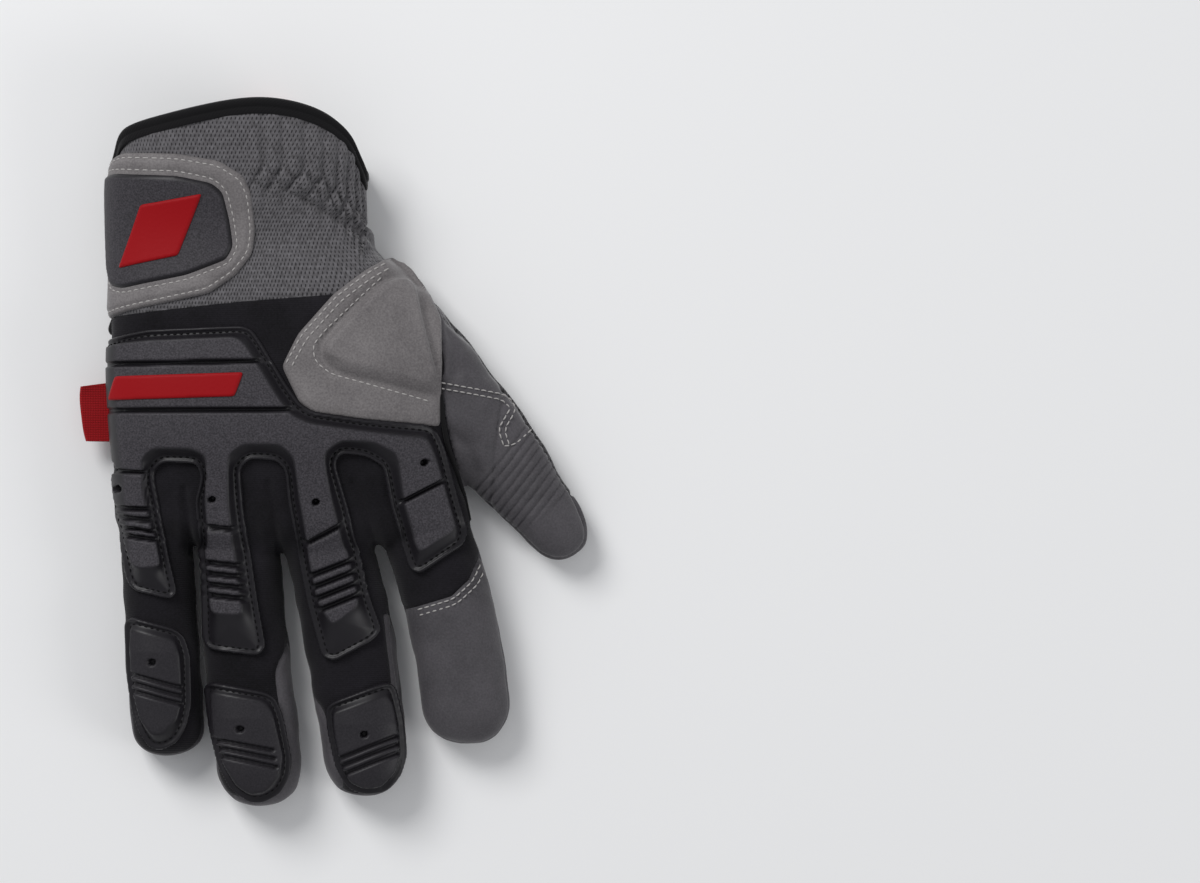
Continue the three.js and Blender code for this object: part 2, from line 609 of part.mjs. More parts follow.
// The thumb: leather over the top and the inside, mesh on the outside, and a leather cap at the tip
const thumbFrame = (along, across) => [
  along * SLEEVES.thumb.axis[0] + across * SLEEVES.thumb.across[0],
  along * SLEEVES.thumb.axis[1] + across * SLEEVES.thumb.across[1],
];
const thumbSpan = (from, to, inner, outer) =>
  prism([thumbFrame(from, inner), thumbFrame(to, inner), thumbFrame(to, outer), thumbFrame(from, outer)]);
const thumb = shell.intersect(thumbSide(GAP / 2));
const thumbFront = thumb.intersect(lower);
const outside = THUMB_MIDDLE + GAP / 2;
node("thumb_top", thumb.intersect(upper), "leather");
node("thumb_inside", thumbFront.intersect(thumbSpan(-FAR, FAR, -FAR, THUMB_MIDDLE - GAP / 2)), "leather");
node("thumb_mesh", thumbFront.intersect(thumbSpan(-FAR, CAP_START, outside, FAR)), "mesh");
node("thumb_cap", thumbFront.intersect(thumbSpan(CAP_START + GAP, FAR, outside, FAR)), "leather");

// Edge binding round the cuff, over the end of the fabric and the leather
const binding = loft(
  [
    cuffRing(BINDING_WIDE, -WALL - BINDING_IN),
    cuffRing(0, -WALL - BINDING_IN),
    cuffRing(0, BINDING_OUT),
    cuffRing(BINDING_WIDE, BINDING_OUT),
  ],
  true,
);
node("cuff_binding", solidOf(binding), "binding");

// Knuckle guard: a sewn rubber rim, and a raised plate with fingers, cut by grooves and vents
const guardRim = layer(GAP, GAP + FLANGE_THICK, prism(KNUCKLE_GUARD, LOWEST.guard));
const guardPlate = layer(GAP, GAP + GUARD_HEIGHT, prism(MAIN_PLATE, LOWEST.plate));
const guardCuts = add(repeatedSlots([...GROOVES, ...VENTS])).subtract(hand(GAP + GUARD_HEIGHT - GUARD_CUT));
node("knuckle_guard", guardRim.add(guardPlate).subtract(guardCuts), "rubber");

// Guards on three fingertips
for (const [name, outline] of Object.entries(TIP_GUARDS)) {
  const rim = layer(GAP, GAP + FLANGE_THICK, prism(outline, LOWEST.tipGuard), [name]);
  const face = layer(GAP, GAP + TIP_GUARD_HEIGHT, prism(TIP_FACES[name], LOWEST.tipGuard), [name]);
  const uncut = hand(GAP + TIP_GUARD_HEIGHT - TIP_GUARD_CUT, [name]);
  const cuts = add(repeatedSlots(TIP_GROOVES[name])).subtract(uncut);
  node(`${name}_tip_guard`, rim.add(face).subtract(cuts), "rubber");
}

// Wrist tab with a rubber patch and a plain raised block on it
const patchFoot = GAP + TAB_THICK + GAP;
const emblemFoot = patchFoot + PATCH_THICK + GAP;
const stripeFoot = GAP + GUARD_HEIGHT + GAP;
const overCuff = (foot, thick, cutter) => layer(foot, foot + thick, cutter, ["palm"]);
const tabCutter = prism(WRIST_TAB, LOWEST.tab).intersect(fingerSideOfCuff(BINDING_WIDE + 2 * GAP));
node("wrist_tab", overCuff(GAP, TAB_THICK, tabCutter), "trim");
node("tab_patch", overCuff(patchFoot, PATCH_THICK, prism(TAB_PATCH, LOWEST.patch)), "rubber");
node("tab_emblem", overCuff(emblemFoot, RELIEF, prism(TAB_EMBLEM, LOWEST.relief)), "redRubber");
node("guard_stripe", overCuff(stripeFoot, RELIEF, prism(GUARD_STRIPE, LOWEST.relief)), "redRubber");

// Thumb saddle with its foam pad
const besideGuard = slab(-HIGH, HIGH).subtract(prism(KNUCKLE_GUARD.map(([x, y, r]) => [x, y + GAP, r])));
const onSaddle = (outline) => prism(outline, LOWEST.saddle).intersect(besideGuard);
const foamFoot = GAP + SADDLE_THICK + GAP;
node("thumb_saddle", layer(GAP, GAP + SADDLE_THICK, onSaddle(THUMB_SADDLE)), "trim");
node("saddle_pad", layer(foamFoot, foamFoot - GAP + FOAM_THICK, onSaddle(SADDLE_PAD)), "trim");

// Suede pads under the palm. They are what the palm rests on.
node("knuckle_pad", layer(GAP, GAP + PAD_THICK, prism(KNUCKLE_PAD, 0, PAD_HIGHEST)), "suede");
node("heel_pad", layer(GAP, GAP + PAD_THICK, prism(HEEL_PAD, 0, PAD_HIGHEST)), "suede");

// Pull loop: webbing sewn to the palm leather, out past the cuff edge, and back inside it
const { left, right, sewn, end, folded, bottom, top } = PULL_LOOP;
const webbing = (y0, y1, z0, z1) => {
  const box = new THREE.BoxGeometry(right - left, y1 - y0, z1 - z0);
  return solidOf(box.translate((left + right) / 2, (y0 + y1) / 2, (z0 + z1) / 2));
};
const loop = add([
  webbing(sewn, end, bottom, bottom + LOOP_THICK),
  webbing(end - LOOP_THICK, end, bottom, top),
  webbing(end - folded, end, top - LOOP_THICK, top),
]);
node("pull_loop", loop, "redWebbing");

// Side tag: a folded ribbon sewn into the seam on the little finger's side
const ribbon = [
  [SIDE_TAG.left, SIDE_TAG.low],
  [SIDE_TAG.right, SIDE_TAG.low],
  [SIDE_TAG.right, SIDE_TAG.high],
  [SIDE_TAG.left, SIDE_TAG.high],
];
const tag = prism(ribbon, SIDE_TAG.bottom, SIDE_TAG.bottom + TAG_THICK);
node("side_tag", tag.subtract(hand(GAP)), "redWebbing");

const glove = new THREE.Group();
glove.position.set(SHIFT.x, SHIFT.y, SHIFT.z);
for (const { name, solid, material } of nodes) {
  const mesh = new THREE.Mesh(
    geometryOf(solid),
    new THREE.MeshStandardMaterial({ ...MATERIALS[material], metalness: 0 }),
  );
  mesh.name = name;
  glove.add(mesh);
}

export default glove;
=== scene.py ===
import bpy
import numpy as np
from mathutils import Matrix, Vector


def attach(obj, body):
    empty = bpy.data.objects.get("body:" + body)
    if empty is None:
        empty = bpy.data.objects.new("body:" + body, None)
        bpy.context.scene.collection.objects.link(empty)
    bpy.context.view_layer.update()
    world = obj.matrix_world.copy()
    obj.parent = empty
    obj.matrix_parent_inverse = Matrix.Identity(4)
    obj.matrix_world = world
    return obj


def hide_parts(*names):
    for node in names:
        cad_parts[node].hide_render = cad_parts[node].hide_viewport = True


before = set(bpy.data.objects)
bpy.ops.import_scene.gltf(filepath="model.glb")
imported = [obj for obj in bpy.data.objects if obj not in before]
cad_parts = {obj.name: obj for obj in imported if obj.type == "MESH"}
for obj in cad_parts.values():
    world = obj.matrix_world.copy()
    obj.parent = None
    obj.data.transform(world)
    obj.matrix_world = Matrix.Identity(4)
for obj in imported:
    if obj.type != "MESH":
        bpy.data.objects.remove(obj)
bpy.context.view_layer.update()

# ---------------------------------------------------------------- Bench, light and camera
# The glove lies on a plain pale bench under soft boxes. The camera looks straight down from over two
# metres with a long lens, with the fingers towards the bottom of the picture.
MM = 0.001
SHIFT = np.array([-0.34, -0.18, 0.0])  # mm, from the pattern's own zero to the middle of the glove's box
PICTURE_MM = 410.4  # width of the picture on the bench
LENS_MM, SENSOR_MM = 200.0, 36.0

sight = bpy.data.cameras.new("camera")
sight.lens, sight.sensor_width, sight.clip_end = LENS_MM, SENSOR_MM, 20.0
camera = bpy.data.objects.new("camera", sight)
camera.location = (0.09196, 0.00412, PICTURE_MM * MM * LENS_MM / SENSOR_MM + 0.02)
bpy.context.scene.collection.objects.link(camera)
bpy.context.scene.camera = camera


def linear(colour):
    """Linear RGBA from an sRGB hex value such as '#1D1B1F', by the sRGB curve."""
    c = np.array([int(colour[i:i + 2], 16) for i in (1, 3, 5)]) / 255
    return (*np.where(c <= 0.04045, c / 12.92, ((c + 0.055) / 1.055) ** 2.4), 1.0)


def feed(made, inputs):
    """Give each named or numbered input of a node a value or a link."""
    for key, value in inputs.items():
        if isinstance(value, bpy.types.NodeSocket):
            made.id_data.links.new(value, made.inputs[key])
        else:
            made.inputs[key].default_value = value


def node(tree, kind, settings=None, inputs=None):
    """Add one node, set its properties, and feed its inputs. A ramp is given as (position, hex) pairs."""
    made = tree.nodes.new(kind)
    for key, value in (settings or {}).items():
        if key == "ramp":
            for stop, (position, colour) in zip(made.color_ramp.elements, value):
                stop.position, stop.color = position, linear(colour)
        else:
            setattr(made, key, value)
    feed(made, inputs or {})
    return made


def new_material(name, inputs):
    """A material with one Principled shader, whose own sockets take these values."""
    made = bpy.data.materials.new(name)
    made.use_nodes = True
    made.node_tree.nodes.clear()
    shader = node(made.node_tree, "ShaderNodeBsdfPrincipled", inputs=inputs)
    node(made.node_tree, "ShaderNodeOutputMaterial", inputs={"Surface": shader.outputs[0]})
    return made, made.node_tree, shader


def new_object(name, points, faces, material, smooth=True, uv=None):
    """An object at the origin from points in pattern millimetres; faces are an array or a list of rows of
    point numbers, and smooth is one value or one for each face."""
    mesh = bpy.data.meshes.new(name)
    mesh.from_pydata(((points + SHIFT) * MM).tolist(), [], faces if isinstance(faces, list) else faces.tolist())
    mesh.polygons.foreach_set("use_smooth", np.full(len(mesh.polygons), smooth))
    if uv is not None:
        corner = np.empty(len(mesh.loops), np.int32)
        mesh.loops.foreach_get("vertex_index", corner)
        mesh.uv_layers.new(name="pattern").data.foreach_set("uv", (uv * MM)[corner].ravel())
    mesh.materials.append(material)
    mesh.update()
    made = bpy.data.objects.new(name, mesh)
    bpy.context.scene.collection.objects.link(made)
    return made


def declared(made, slot, *nodes):
    """Hang a piece on the root body and hide the CAD nodes it stands for; slot is not used."""
    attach(made, "root")
    if nodes:
        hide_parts(*nodes)
    return made


BENCH = 3000  # mm, half its width
bench_paint, _, _ = new_material("pale bench paint", {"Base Color": linear("#F4F4F4"), "Roughness": 0.7})
bench = new_object("bench", BENCH * np.array([[-1, -1, 0], [1, -1, 0], [1, 1, 0], [-1, 1, 0.0]]),
                   [[0, 1, 2, 3]], bench_paint)

world = bpy.data.worlds.new("studio")
world.use_nodes = True
world.node_tree.nodes["Background"].inputs["Color"].default_value = linear("#F2F4F8")
world.node_tree.nodes["Background"].inputs["Strength"].default_value = 0.42
bpy.context.scene.world = world
bpy.context.scene.view_settings.view_transform = "Standard"
for name, place, aim, size, power in (
        ("soft box above", (-0.8, 1.05, 1.25), (0, 0, 0), 0.8, 21.0),
        ("soft box beside", (1.3, -0.5, 0.8), (0, 0, 0), 0.7, 5.0)):
    lamp = bpy.data.lights.new(name, "AREA")
    lamp.size, lamp.energy = size, power
    box = bpy.data.objects.new(name, lamp)
    box.location = place
    box.rotation_euler = (Vector(place) - Vector(aim)).to_track_quat("Z", "Y").to_euler()
    bpy.context.scene.collection.objects.link(box)

# ---------------------------------------------------------------- The sewn hand
# The form under every panel: a palm, four fingers and a thumb, each a rounded tube, run together at
# their roots. Every panel, guard and stitch takes its place from this one surface.
PITCH = 0.8  # mm between the points of the cloth
# Sections of each tube: along its axis, middle, half width, top; all in mm
TUBES = {
    "palm": dict(power=2.5, low=-5, tip=12.0, rows=[
        (-128, -31.2, 41.1, 42.0), (-97, -30.9, 43.1, 38.5), (-88, -31.2, 43.4, 35.5), (-79, -31.8, 42.5, 33.3),
        (-70, -29.5, 44.7, 33.2), (-59, -24.6, 49.6, 34.5), (-46, -20.9, 53.8, 36.0), (-28, -18.9, 56.4, 37.0),
        (-4, -17.0, 56.9, 36.0), (20, -12.4, 58.5, 29.5)]),
    "pinky": dict(power=2.3, low=-3, tip=11.6, rows=[
        (-12, -57.0, 9.5, 22.0), (9, -59.6, 12.0, 25.0), (36, -59.3, 12.6, 23.5), (56, -58.6, 12.3, 22.0),
        (92, -56.3, 12.6, 18.5)]),
    "ring": dict(power=2.3, low=-3, tip=17.0, rows=[
        (-12, -36.0, 11.0, 22.0), (9, -33.5, 12.5, 26.0), (36, -31.3, 14.0, 25.0), (58, -30.0, 14.6, 23.5),
        (84, -27.5, 15.0, 21.0), (104, -24.8, 14.6, 19.0)]),
    "middle": dict(power=2.3, low=-3, tip=17.3, rows=[
        (-12, -9.0, 12.0, 22.0), (9, -6.0, 14.0, 26.0), (36, 0.4, 15.5, 25.0), (56, 5.0, 16.0, 23.8),
        (84, 9.1, 15.2, 21.0), (100, 11.4, 14.4, 19.0)]),
    "index": dict(power=2.3, low=-3, tip=15.5, rows=[
        (-12, 20.0, 13.0, 22.0), (9, 27.0, 15.0, 26.0), (36, 35.8, 16.0, 25.0), (56, 41.4, 15.6, 23.4),
        (84, 46.3, 15.2, 20.0)]),
    "thumb": dict(power=2.2, low=-3, tip=15.0, rows=[
        (-42, 44.5, 9.0, 18.0), (-16, 45.4, 15.6, 28.0), (25, 45.3, 15.3, 25.0), (41, 45.2, 14.3, 22.0),
        (55, 44.7, 12.4, 19.5), (64, 45.0, 10.5, 17.5)]),
}


def thumb_axes(p):
    """Places of points along the thumb's axis and across it."""
    return 0.62 * p[:, 0] - 0.7846 * p[:, 1], 0.7846 * p[:, 0] + 0.62 * p[:, 1]


def unit(vectors):
    """Vectors made 1 long."""
    return vectors / np.linalg.norm(vectors, axis=-1, keepdims=True)


def sampled(rows, blur=5.0):
    """The rows of a tube each millimetre along it, run through a Gaussian so that no row shows as a ridge."""
    rows = np.array(rows, float)
    along = np.arange(rows[0, 0] - 40, rows[-1, 0] + 41)
    reach = np.arange(-15, 16)
    weight = np.exp(-0.5 * (reach / blur) ** 2)
    columns = [np.convolve(np.pad(np.interp(along, rows[:, 0], column), 15, mode="edge"),
                           weight / weight.sum(), "valid") for column in rows.T[1:]]
    return along, columns, rows[-1, 0]


for tube in TUBES.values():
    tube["table"] = sampled(tube["rows"])


def blended(a, b, width):
    """The lower of two distances, rounded over a width: min(a, b) less a quarter of width h squared."""
    h = np.maximum(width - np.abs(a - b), 0) / width
    return np.minimum(a, b) - h * h * width / 4


def tube_distance(name, p):
    """Distance of points from one tube along the ray from its axis: |q| (1 - 1/R), where R is the
    superellipse radius of q, and past its first and last rows the tube closes by a rounded cap."""
    tube = TUBES[name]
    along, (middle, half, top), last = tube["table"]
    s, c = thumb_axes(p) if name == "thumb" else (-p[:, 1], p[:, 0])
    middle, half, top = (np.interp(s, along, column) for column in (middle, half, top))
    a = np.abs(c - middle)
    b = np.abs(p[:, 2] - (top + tube["low"]) / 2)
    rise = (top - tube["low"]) / 2
    t = np.maximum(s - last, 0) / tube["tip"] + (np.maximum(tube["rows"][0][0] - s, 0) / 7 if name != "palm" else 0)
    power, cap = tube["power"], 2.35
    if name == "palm":
        high = ((b / rise) ** cap + t ** cap) ** (1 / cap)
        radius = ((a / (half * (1 - 0.12 * np.minimum(t, 1) ** 2))) ** power + high ** power) ** (1 / power)
    else:
        flat = ((a / half) ** power + (b / rise) ** power) ** (1 / power)
        radius = (flat ** cap + t ** cap) ** (1 / cap)
    reach = np.sqrt(a * a + b * b + (t * tube["tip"]) ** 2)
    return reach * (radius - 1) / np.maximum(radius, 0.05)


def bench_level(p):
    """Height at which the leather is pressed flat: 1.8 under the palm, where pads lift it, 0 at the tips."""
    level = np.interp(p[:, 1], [-56, -36, 59, 70, 79, 88], [0, 1.8, 1.8, 2.0, 2.5, 3.0])
    t, _ = thumb_axes(p)
    on_thumb = np.clip((p[:, 0] - 44) / 8, 0, 1) * np.clip((t - 5) / 20, 0, 1) * (p[:, 1] > -40)
    return level * (1 - on_thumb)


def hand_distance(p):
    """Signed distance of points from the hand: the tubes run together, and pressed flat underneath."""
    fingers = tube_distance("pinky", p)
    for name in ("ring", "middle", "index"):
        fingers = blended(fingers, tube_distance(name, p), 0.9)
    d = blended(blended(fingers, tube_distance("palm", p), 6.0), tube_distance("thumb", p), 6.0)
    return -blended(-d, -(bench_level(p) - p[:, 2]), 3.0)


def slope(p, step=0.25):
    """Gradient of the hand's distance by central differences."""
    sides = []
    for i in range(3):
        move = np.zeros(3)
        move[i] = step
        sides.append((hand_distance(p + move) - hand_distance(p - move)) / (2 * step))
    return np.stack(sides, -1)


def outward(p):
    """Unit vector out of the hand at points on or near it."""
    return unit(slope(p))


def onto_hand(p, times=3):
    """Move points along the gradient onto the surface, by Newton's steps."""
    for _ in range(times):
        g = slope(p)
        p = p - g * (hand_distance(p) / np.maximum((g * g).sum(1), 0.05))[:, None]
    return p


def surface_net(low, high, pitch):
    """Triangles on the hand's surface: one point in each grid cell that the surface crosses, at the mean
    of its crossings of the cell's edges, joined by a quad across each grid edge that it crosses."""
    axes = [np.arange(a, b + pitch, pitch) for a, b in zip(low, high)]
    shape = tuple(len(a) for a in axes)
    f = np.empty(shape)
    for i, x in enumerate(axes[0]):
        y, z = np.meshgrid(axes[1], axes[2], indexing="ij")
        f[i] = hand_distance(np.stack([np.full(y.size, x), y.ravel(), z.ravel()], -1)).reshape(y.shape)
    inside = f < 0
    corners = [(i, j, k) for i in (0, 1) for j in (0, 1) for k in (0, 1)]
    cells = tuple(n - 1 for n in shape)
    part = lambda grid, c: grid[c[0]:c[0] + cells[0], c[1]:c[1] + cells[1], c[2]:c[2] + cells[2]]
    count = sum(part(inside, c).astype(np.int8) for c in corners)
    active = (count > 0) & (count < 8)
    where = np.argwhere(active)
    value = np.stack([part(f, c)[active] for c in corners], -1)
    total, crossings = np.zeros((len(where), 3)), np.zeros(len(where))
    for i, a in enumerate(corners):
        for j, b in enumerate(corners):
            if j > i and sum(abs(m - n) for m, n in zip(a, b)) == 1:
                cut = (value[:, i] < 0) != (value[:, j] < 0)
                share = np.where(cut, value[:, i] / np.where(cut, value[:, i] - value[:, j], 1), 0)
                total += cut[:, None] * (np.array(a) + share[:, None] * (np.array(b) - np.array(a)))
                crossings += cut
    points = (where + total / crossings[:, None]) * pitch + np.array(low)
    number = np.full(cells, -1)
    number[active] = np.arange(len(where))
    quads = []
    for axis in range(3):
        one, two = [i for i in range(3) if i != axis]
        ahead = np.moveaxis(inside, axis, 0)
        crossed = np.argwhere(ahead[:-1] != ahead[1:])
        start = np.insert(crossed[:, 1:], axis, crossed[:, 0], axis=1)
        start = start[(start[:, one] > 0) & (start[:, two] > 0)
                      & (start[:, one] < cells[one]) & (start[:, two] < cells[two])]
        ring = []
        for m, n in ((0, 0), (1, 0), (1, 1), (0, 1)):
            cell = start.copy()
            cell[:, one] -= m
            cell[:, two] -= n
            ring.append(number[tuple(cell.T)])
        ring = np.stack(ring, -1)
        flip = inside[tuple(start.T)] != (axis == 1)
        ring[~flip] = ring[~flip][:, ::-1]
        quads.append(ring)
    quads = np.concatenate(quads)
    return points, quads[(quads >= 0).all(1)]


def relaxed(points, quads, times):
    """Even out the points: each moves halfway to the mean of its neighbours, then back onto the hand."""
    a = quads.ravel()
    b = np.roll(quads, -1, axis=1).ravel()
    a, b = np.concatenate([a, b]), np.concatenate([b, a])
    number = np.bincount(a, minlength=len(points))[:, None]
    for _ in range(times):
        mean = np.stack([np.bincount(a, points[b, i], len(points)) for i in range(3)], -1) / number
        points = onto_hand((points + mean) / 2, 1)
    return points


form, form_quads = surface_net((-80, -124, -2), (92, 126, 46), PITCH)
form = relaxed(onto_hand(form), form_quads, 3)
form_normal = outward(form)
form_faces = np.concatenate([form_quads[:, [0, 1, 2]], form_quads[:, [0, 2, 3]]])

# ---------------------------------------------------------------- Seams, gathers and folds
# The panels are sewn edge to edge, so every seam lies in a small valley. An elastic gathers the cuff's
# mesh in puffs, and the cloth has soft folds where the thumb and the fingers leave the hand.
SEAM_Z = 10.5  # height of the side seam
WRIST = np.array([-31.8, 0.0, 17.0])  # the middle of the wrist, whose half width and half height follow
WRIST_HALF, WRIST_RISE = 43.0, 19.5
RIM = np.array([  # the cuff's edge: angle round the wrist in degrees, and y
    (5, 95), (14, 97), (24, 102), (35, 108.4), (46, 113.4), (58, 117.6), (70, 120.3), (81, 121.3), (92, 120.2),
    (103, 118.2), (118, 115.2), (131, 113.2), (143, 111), (153, 107.4), (168, 101), (185, 98), (205, 103),
    (230, 109), (270, 113), (305, 108), (335, 99.5)], float)
EDGE = np.interp(np.arange(-60, 420), RIM[:, 0], RIM[:, 1], period=360)  # its y at each degree, then smoothed
EDGE = np.convolve(EDGE, np.hanning(23) / np.hanning(23).sum(), "same")[60:420]
MESH_LINE = [(-90, 45), (-61, 48.6), (-29, 52), (3, 54.5), (60, 60)]
THUMB_LINE = [(20, 70), (30, 58.5), (37.7, 47.8), (39.3, 30), (38, 21.5), (41, 5), (44.9, -9), (49.5, -21),
              (54.5, -30), (62, -60)]
OUTER_LINE = [(0, 82), (14, 73), (28, 58.8), (38, 48.2), (48.9, 37.3), (57.5, 25.3), (69, 9.2), (79, -6.5), (84, -16)]
WRAP_LINE = [(10, -57), (29.4, -52.3), (41.7, -48.6), (47.9, -42.8), (52.3, -32.8), (54, -20)]
PALM_MESH_LINE = [(-12, 120), (-6, 105), (0, 80), (12, 62), (26, 48), (37, 36), (46, 23), (57, 2), (66, -14),
                  (74, -28), (80, -36)]
CAP_START = 62.0
SIDE_STRIPS = [  # leather that reaches round the fingertips onto the back
    [(-13.2, -60), (-15, -66), (-18.6, -74), (-17.4, -84), (-16.6, -100), (-18.5, -113), (-24, -119.2),
     (-34, -118), (-38, -116), (-44, -130), (-6, -130), (-6.6, -104), (-9.3, -84), (-12.4, -60)],
    [(22, -52), (20.6, -60), (22.6, -76), (25.6, -90), (26.4, -102), (22, -116), (29, -130), (28.9, -100),
     (27.7, -84), (23.6, -56), (23.2, -50)],
    [(-9.3, -83), (-4.8, -84.5), (-1.2, -92), (0.6, -104), (4.6, -112), (2, -120), (-6, -120), (-6.6, -104)]]


def line_distance(line, xy, ends_run_on=True):
    """Distance of points from an open line, positive on its left: the nearest of its straight pieces."""
    best = np.full(len(xy), np.inf)
    side = np.ones(len(xy))
    for i, (a, b) in enumerate(zip(line[:-1], line[1:])):
        a, d = np.array(a, float), np.array(b, float) - a
        share = ((xy - a) @ d) / (d @ d)
        first = -np.inf if ends_run_on and i == 0 else 0
        last = np.inf if ends_run_on and i == len(line) - 2 else 1
        away = xy - a - np.clip(share, first, last)[:, None] * d
        length = np.hypot(*away.T)
        nearer = length < best
        best = np.where(nearer, length, best)
        side = np.where(nearer, np.sign(d[0] * (xy[:, 1] - a[1]) - d[1] * (xy[:, 0] - a[0])), side)
    return best * np.where(side == 0, 1, side) if ends_run_on else best


def outline_distance(outline, xy):
    """Distance of points from a closed outline, positive inside, where a ray crosses it an odd number of times."""
    best = np.full(len(xy), np.inf)
    odd = np.zeros(len(xy), bool)
    for a, b in zip(outline, np.roll(outline, -1, axis=0)):
        a, b = np.array(a, float), np.array(b, float)
        d = b - a
        share = np.clip(((xy - a) @ d) / max(d @ d, 1e-9), 0, 1)
        best = np.minimum(best, np.hypot(*(xy - a - share[:, None] * d).T))
        spans = (a[1] > xy[:, 1]) != (b[1] > xy[:, 1])
        if spans.any():
            odd ^= spans & (xy[:, 0] < a[0] + (xy[:, 1] - a[1]) * d[0] / (d[1] if d[1] else 1e-9))
    return np.where(odd, best, -best)


def lengths(line):
    """How far along a line each of its points lies."""
    return np.concatenate([[0], np.cumsum(np.linalg.norm(np.diff(line, axis=0), axis=1))])


def at_lengths(line, at):
    """Points of a line at these lengths along it."""
    length = lengths(line)
    return np.stack([np.interp(at, length, column) for column in line.T], -1)


def rounded(corners, radius=1.2, spacing=0.6):
    """A closed outline with its corners rounded: stepped off evenly, then run through a Gaussian."""
    ring = np.array([*corners, corners[0]], float)
    whole = lengths(ring)[-1]
    even = at_lengths(ring, np.linspace(0, whole, int(whole / spacing), endpoint=False))
    reach = np.arange(-12, 13)
    weight = np.exp(-0.5 * (reach * spacing / radius) ** 2)
    return sum(w * np.roll(even, r, axis=0) for r, w in zip(reach, weight / weight.sum()))


def rim_distance(p):
    """How far points are short of the cuff's edge, which is a curve of y over the angle round the wrist."""
    angle = np.degrees(np.arctan2((p[:, 2] - WRIST[2]) / WRIST_RISE, (p[:, 0] - WRIST[0]) / WRIST_HALF)) % 360
    return np.interp(angle, np.arange(360), EDGE, period=360) - p[:, 1]


def cloth_noise(p, wave, seed):
    """Smooth unevenness between about -1 and 1: the mean of plane waves in random directions."""
    rng = np.random.default_rng(seed)
    total = np.zeros(len(p))
    for _ in range(9):
        way = rng.normal(size=3)
        way *= 2 * np.pi / (wave * rng.uniform(0.7, 1.5) * np.linalg.norm(way))
        total += np.sin(p @ way + rng.uniform(0, 6.28))
    return total / 4


def panel_fields(p):
    """For each seam, the signed distance of points from it, positive on the side of the first panel."""
    xy = p[:, :2]
    strips = np.max([outline_distance(rounded(s, 2.0, 1.5), xy) for s in SIDE_STRIPS], axis=0)
    strips = np.where(p[:, 2] > SEAM_Z - 3, strips, -9)
    t, c = thumb_axes(p)
    return {
        "upper": np.minimum(p[:, 2] - SEAM_Z, -strips),
        "rim": rim_distance(p) - 2.5,
        "cuff": np.maximum(line_distance(MESH_LINE, xy), line_distance(OUTER_LINE, xy)),
        "thumb": np.minimum(line_distance(THUMB_LINE, xy), -line_distance(OUTER_LINE, xy)),
        "wrap": np.minimum(-line_distance(WRAP_LINE, xy), line_distance([(16.3, -32), (28, -140)], xy)),
        "palm_mesh": line_distance(PALM_MESH_LINE, xy),
        "cap": t - CAP_START, "t": t, "c": c,
        "roots": -line_distance([(-80, -20), (46, -20), (57, -34), (66, -60), (66, -130)], xy)}


PUFF_X = [-41, -34.5, -28, -21.5, -15, -7.9, -1.7, 2.7, 6.0, 8.6, 10.4, 11.8]  # middles of the elastic's puffs
PUFF_Y = [93.5, 93.5, 93.5, 93.7, 93.7, 92.3, 90.3, 86.2, 83.4, 80, 77, 74.5]


def gathers(p):
    """The elastic's row of puffs: lozenges where a + b < 1 that swell up between valleys, with a fold
    above each valley corner that runs to the cuff's edge, and a shorter one below it."""
    x, y = p[:, 0], p[:, 1]
    s = np.interp(x, PUFF_X, np.arange(len(PUFF_X)))
    w = y - np.interp(x, PUFF_X, PUFF_Y)
    spread = np.clip(w, 0, 30) * 0.012  # the folds fan out towards the edge
    s = s - spread * (s - 4.5) * 0.25
    a = np.abs(s - np.round(s)) * 2
    b = np.abs(w) / 4.4
    past = a + b - 1  # how far outside the lozenge
    inside = 1.9 * np.sqrt(np.clip(-past, 0, 1))
    fold = np.where(w > 0, np.clip(1 - (w - 3) / 27, 0.0, 1), np.clip(1 - (-w - 3) / 11, 0, 1))
    outside = 1.1 * np.sin(np.pi / 2 * a) - 1.0 * np.exp(-(a * 3.1 / 1.1) ** 2)
    outside *= fold * np.clip(past / 0.4, 0, 1)
    valley = -0.9 * np.exp(-(past * 2.5 / 0.8) ** 2) * np.clip(1.6 - b, 0, 1)
    along = np.clip((x + 31) / 8, 0, 1) * np.clip((p[:, 2] - 8) / 6, 0, 1) * (y > 60)
    return (inside + outside + valley) * along


BACK_FOLDS = [  # line, height and width of soft folds on the back
    ([(-12, 88.5), (2, 80.5), (14, 72.5), (24, 65)], -1.3, 0.9), ([(-10, 91), (4, 83), (16, 75), (27, 66.5)], 0.9, 2.0),
    ([(20, 64), (30, 57.5), (36, 49.5), (37.4, 40)], 0.9, 2.2), ([(40, 44), (43, 36), (43.5, 28)], -0.8, 2.0),
    ([(40, 24), (46, 30), (54, 27)], -0.5, 2.5), ([(40, 8), (47, 2), (50, -6)], -0.7, 2.2),
    ([(-49.4, -12), (-48.4, -22), (-47.4, -34)], -1.2, 1.3), ([(-52, -14), (-51, -30)], 0.6, 1.3),
    ([(-20.5, -10), (-19, -20), (-18, -34)], -1.2, 1.3), ([(-24, -16), (-22, -32)], 0.6, 1.3),
    ([(8, -10), (12.5, -20), (15.5, -33)], -1.2, 1.3), ([(12, -9), (16.5, -20), (19.5, -31)], 0.7, 1.3)]
PALM_FOLDS = [
    ([(52, 0), (46, 10), (43, 24)], -1.0, 2.5), ([(58, -2), (52, 10), (48, 24)], 0.8, 3.0),
    ([(-46.5, -30), (-46, -44)], -1.0, 2.0), ([(-16, -30), (-14, -44)], -1.0, 2.0), ([(17, -30), (20, -44)], -1.0, 2.0),
    ([(-10, 88), (10, 80), (22, 66)], -0.8, 3.0), ([(-60, 92), (-40, 97), (-20, 95)], -0.6, 3.0)]
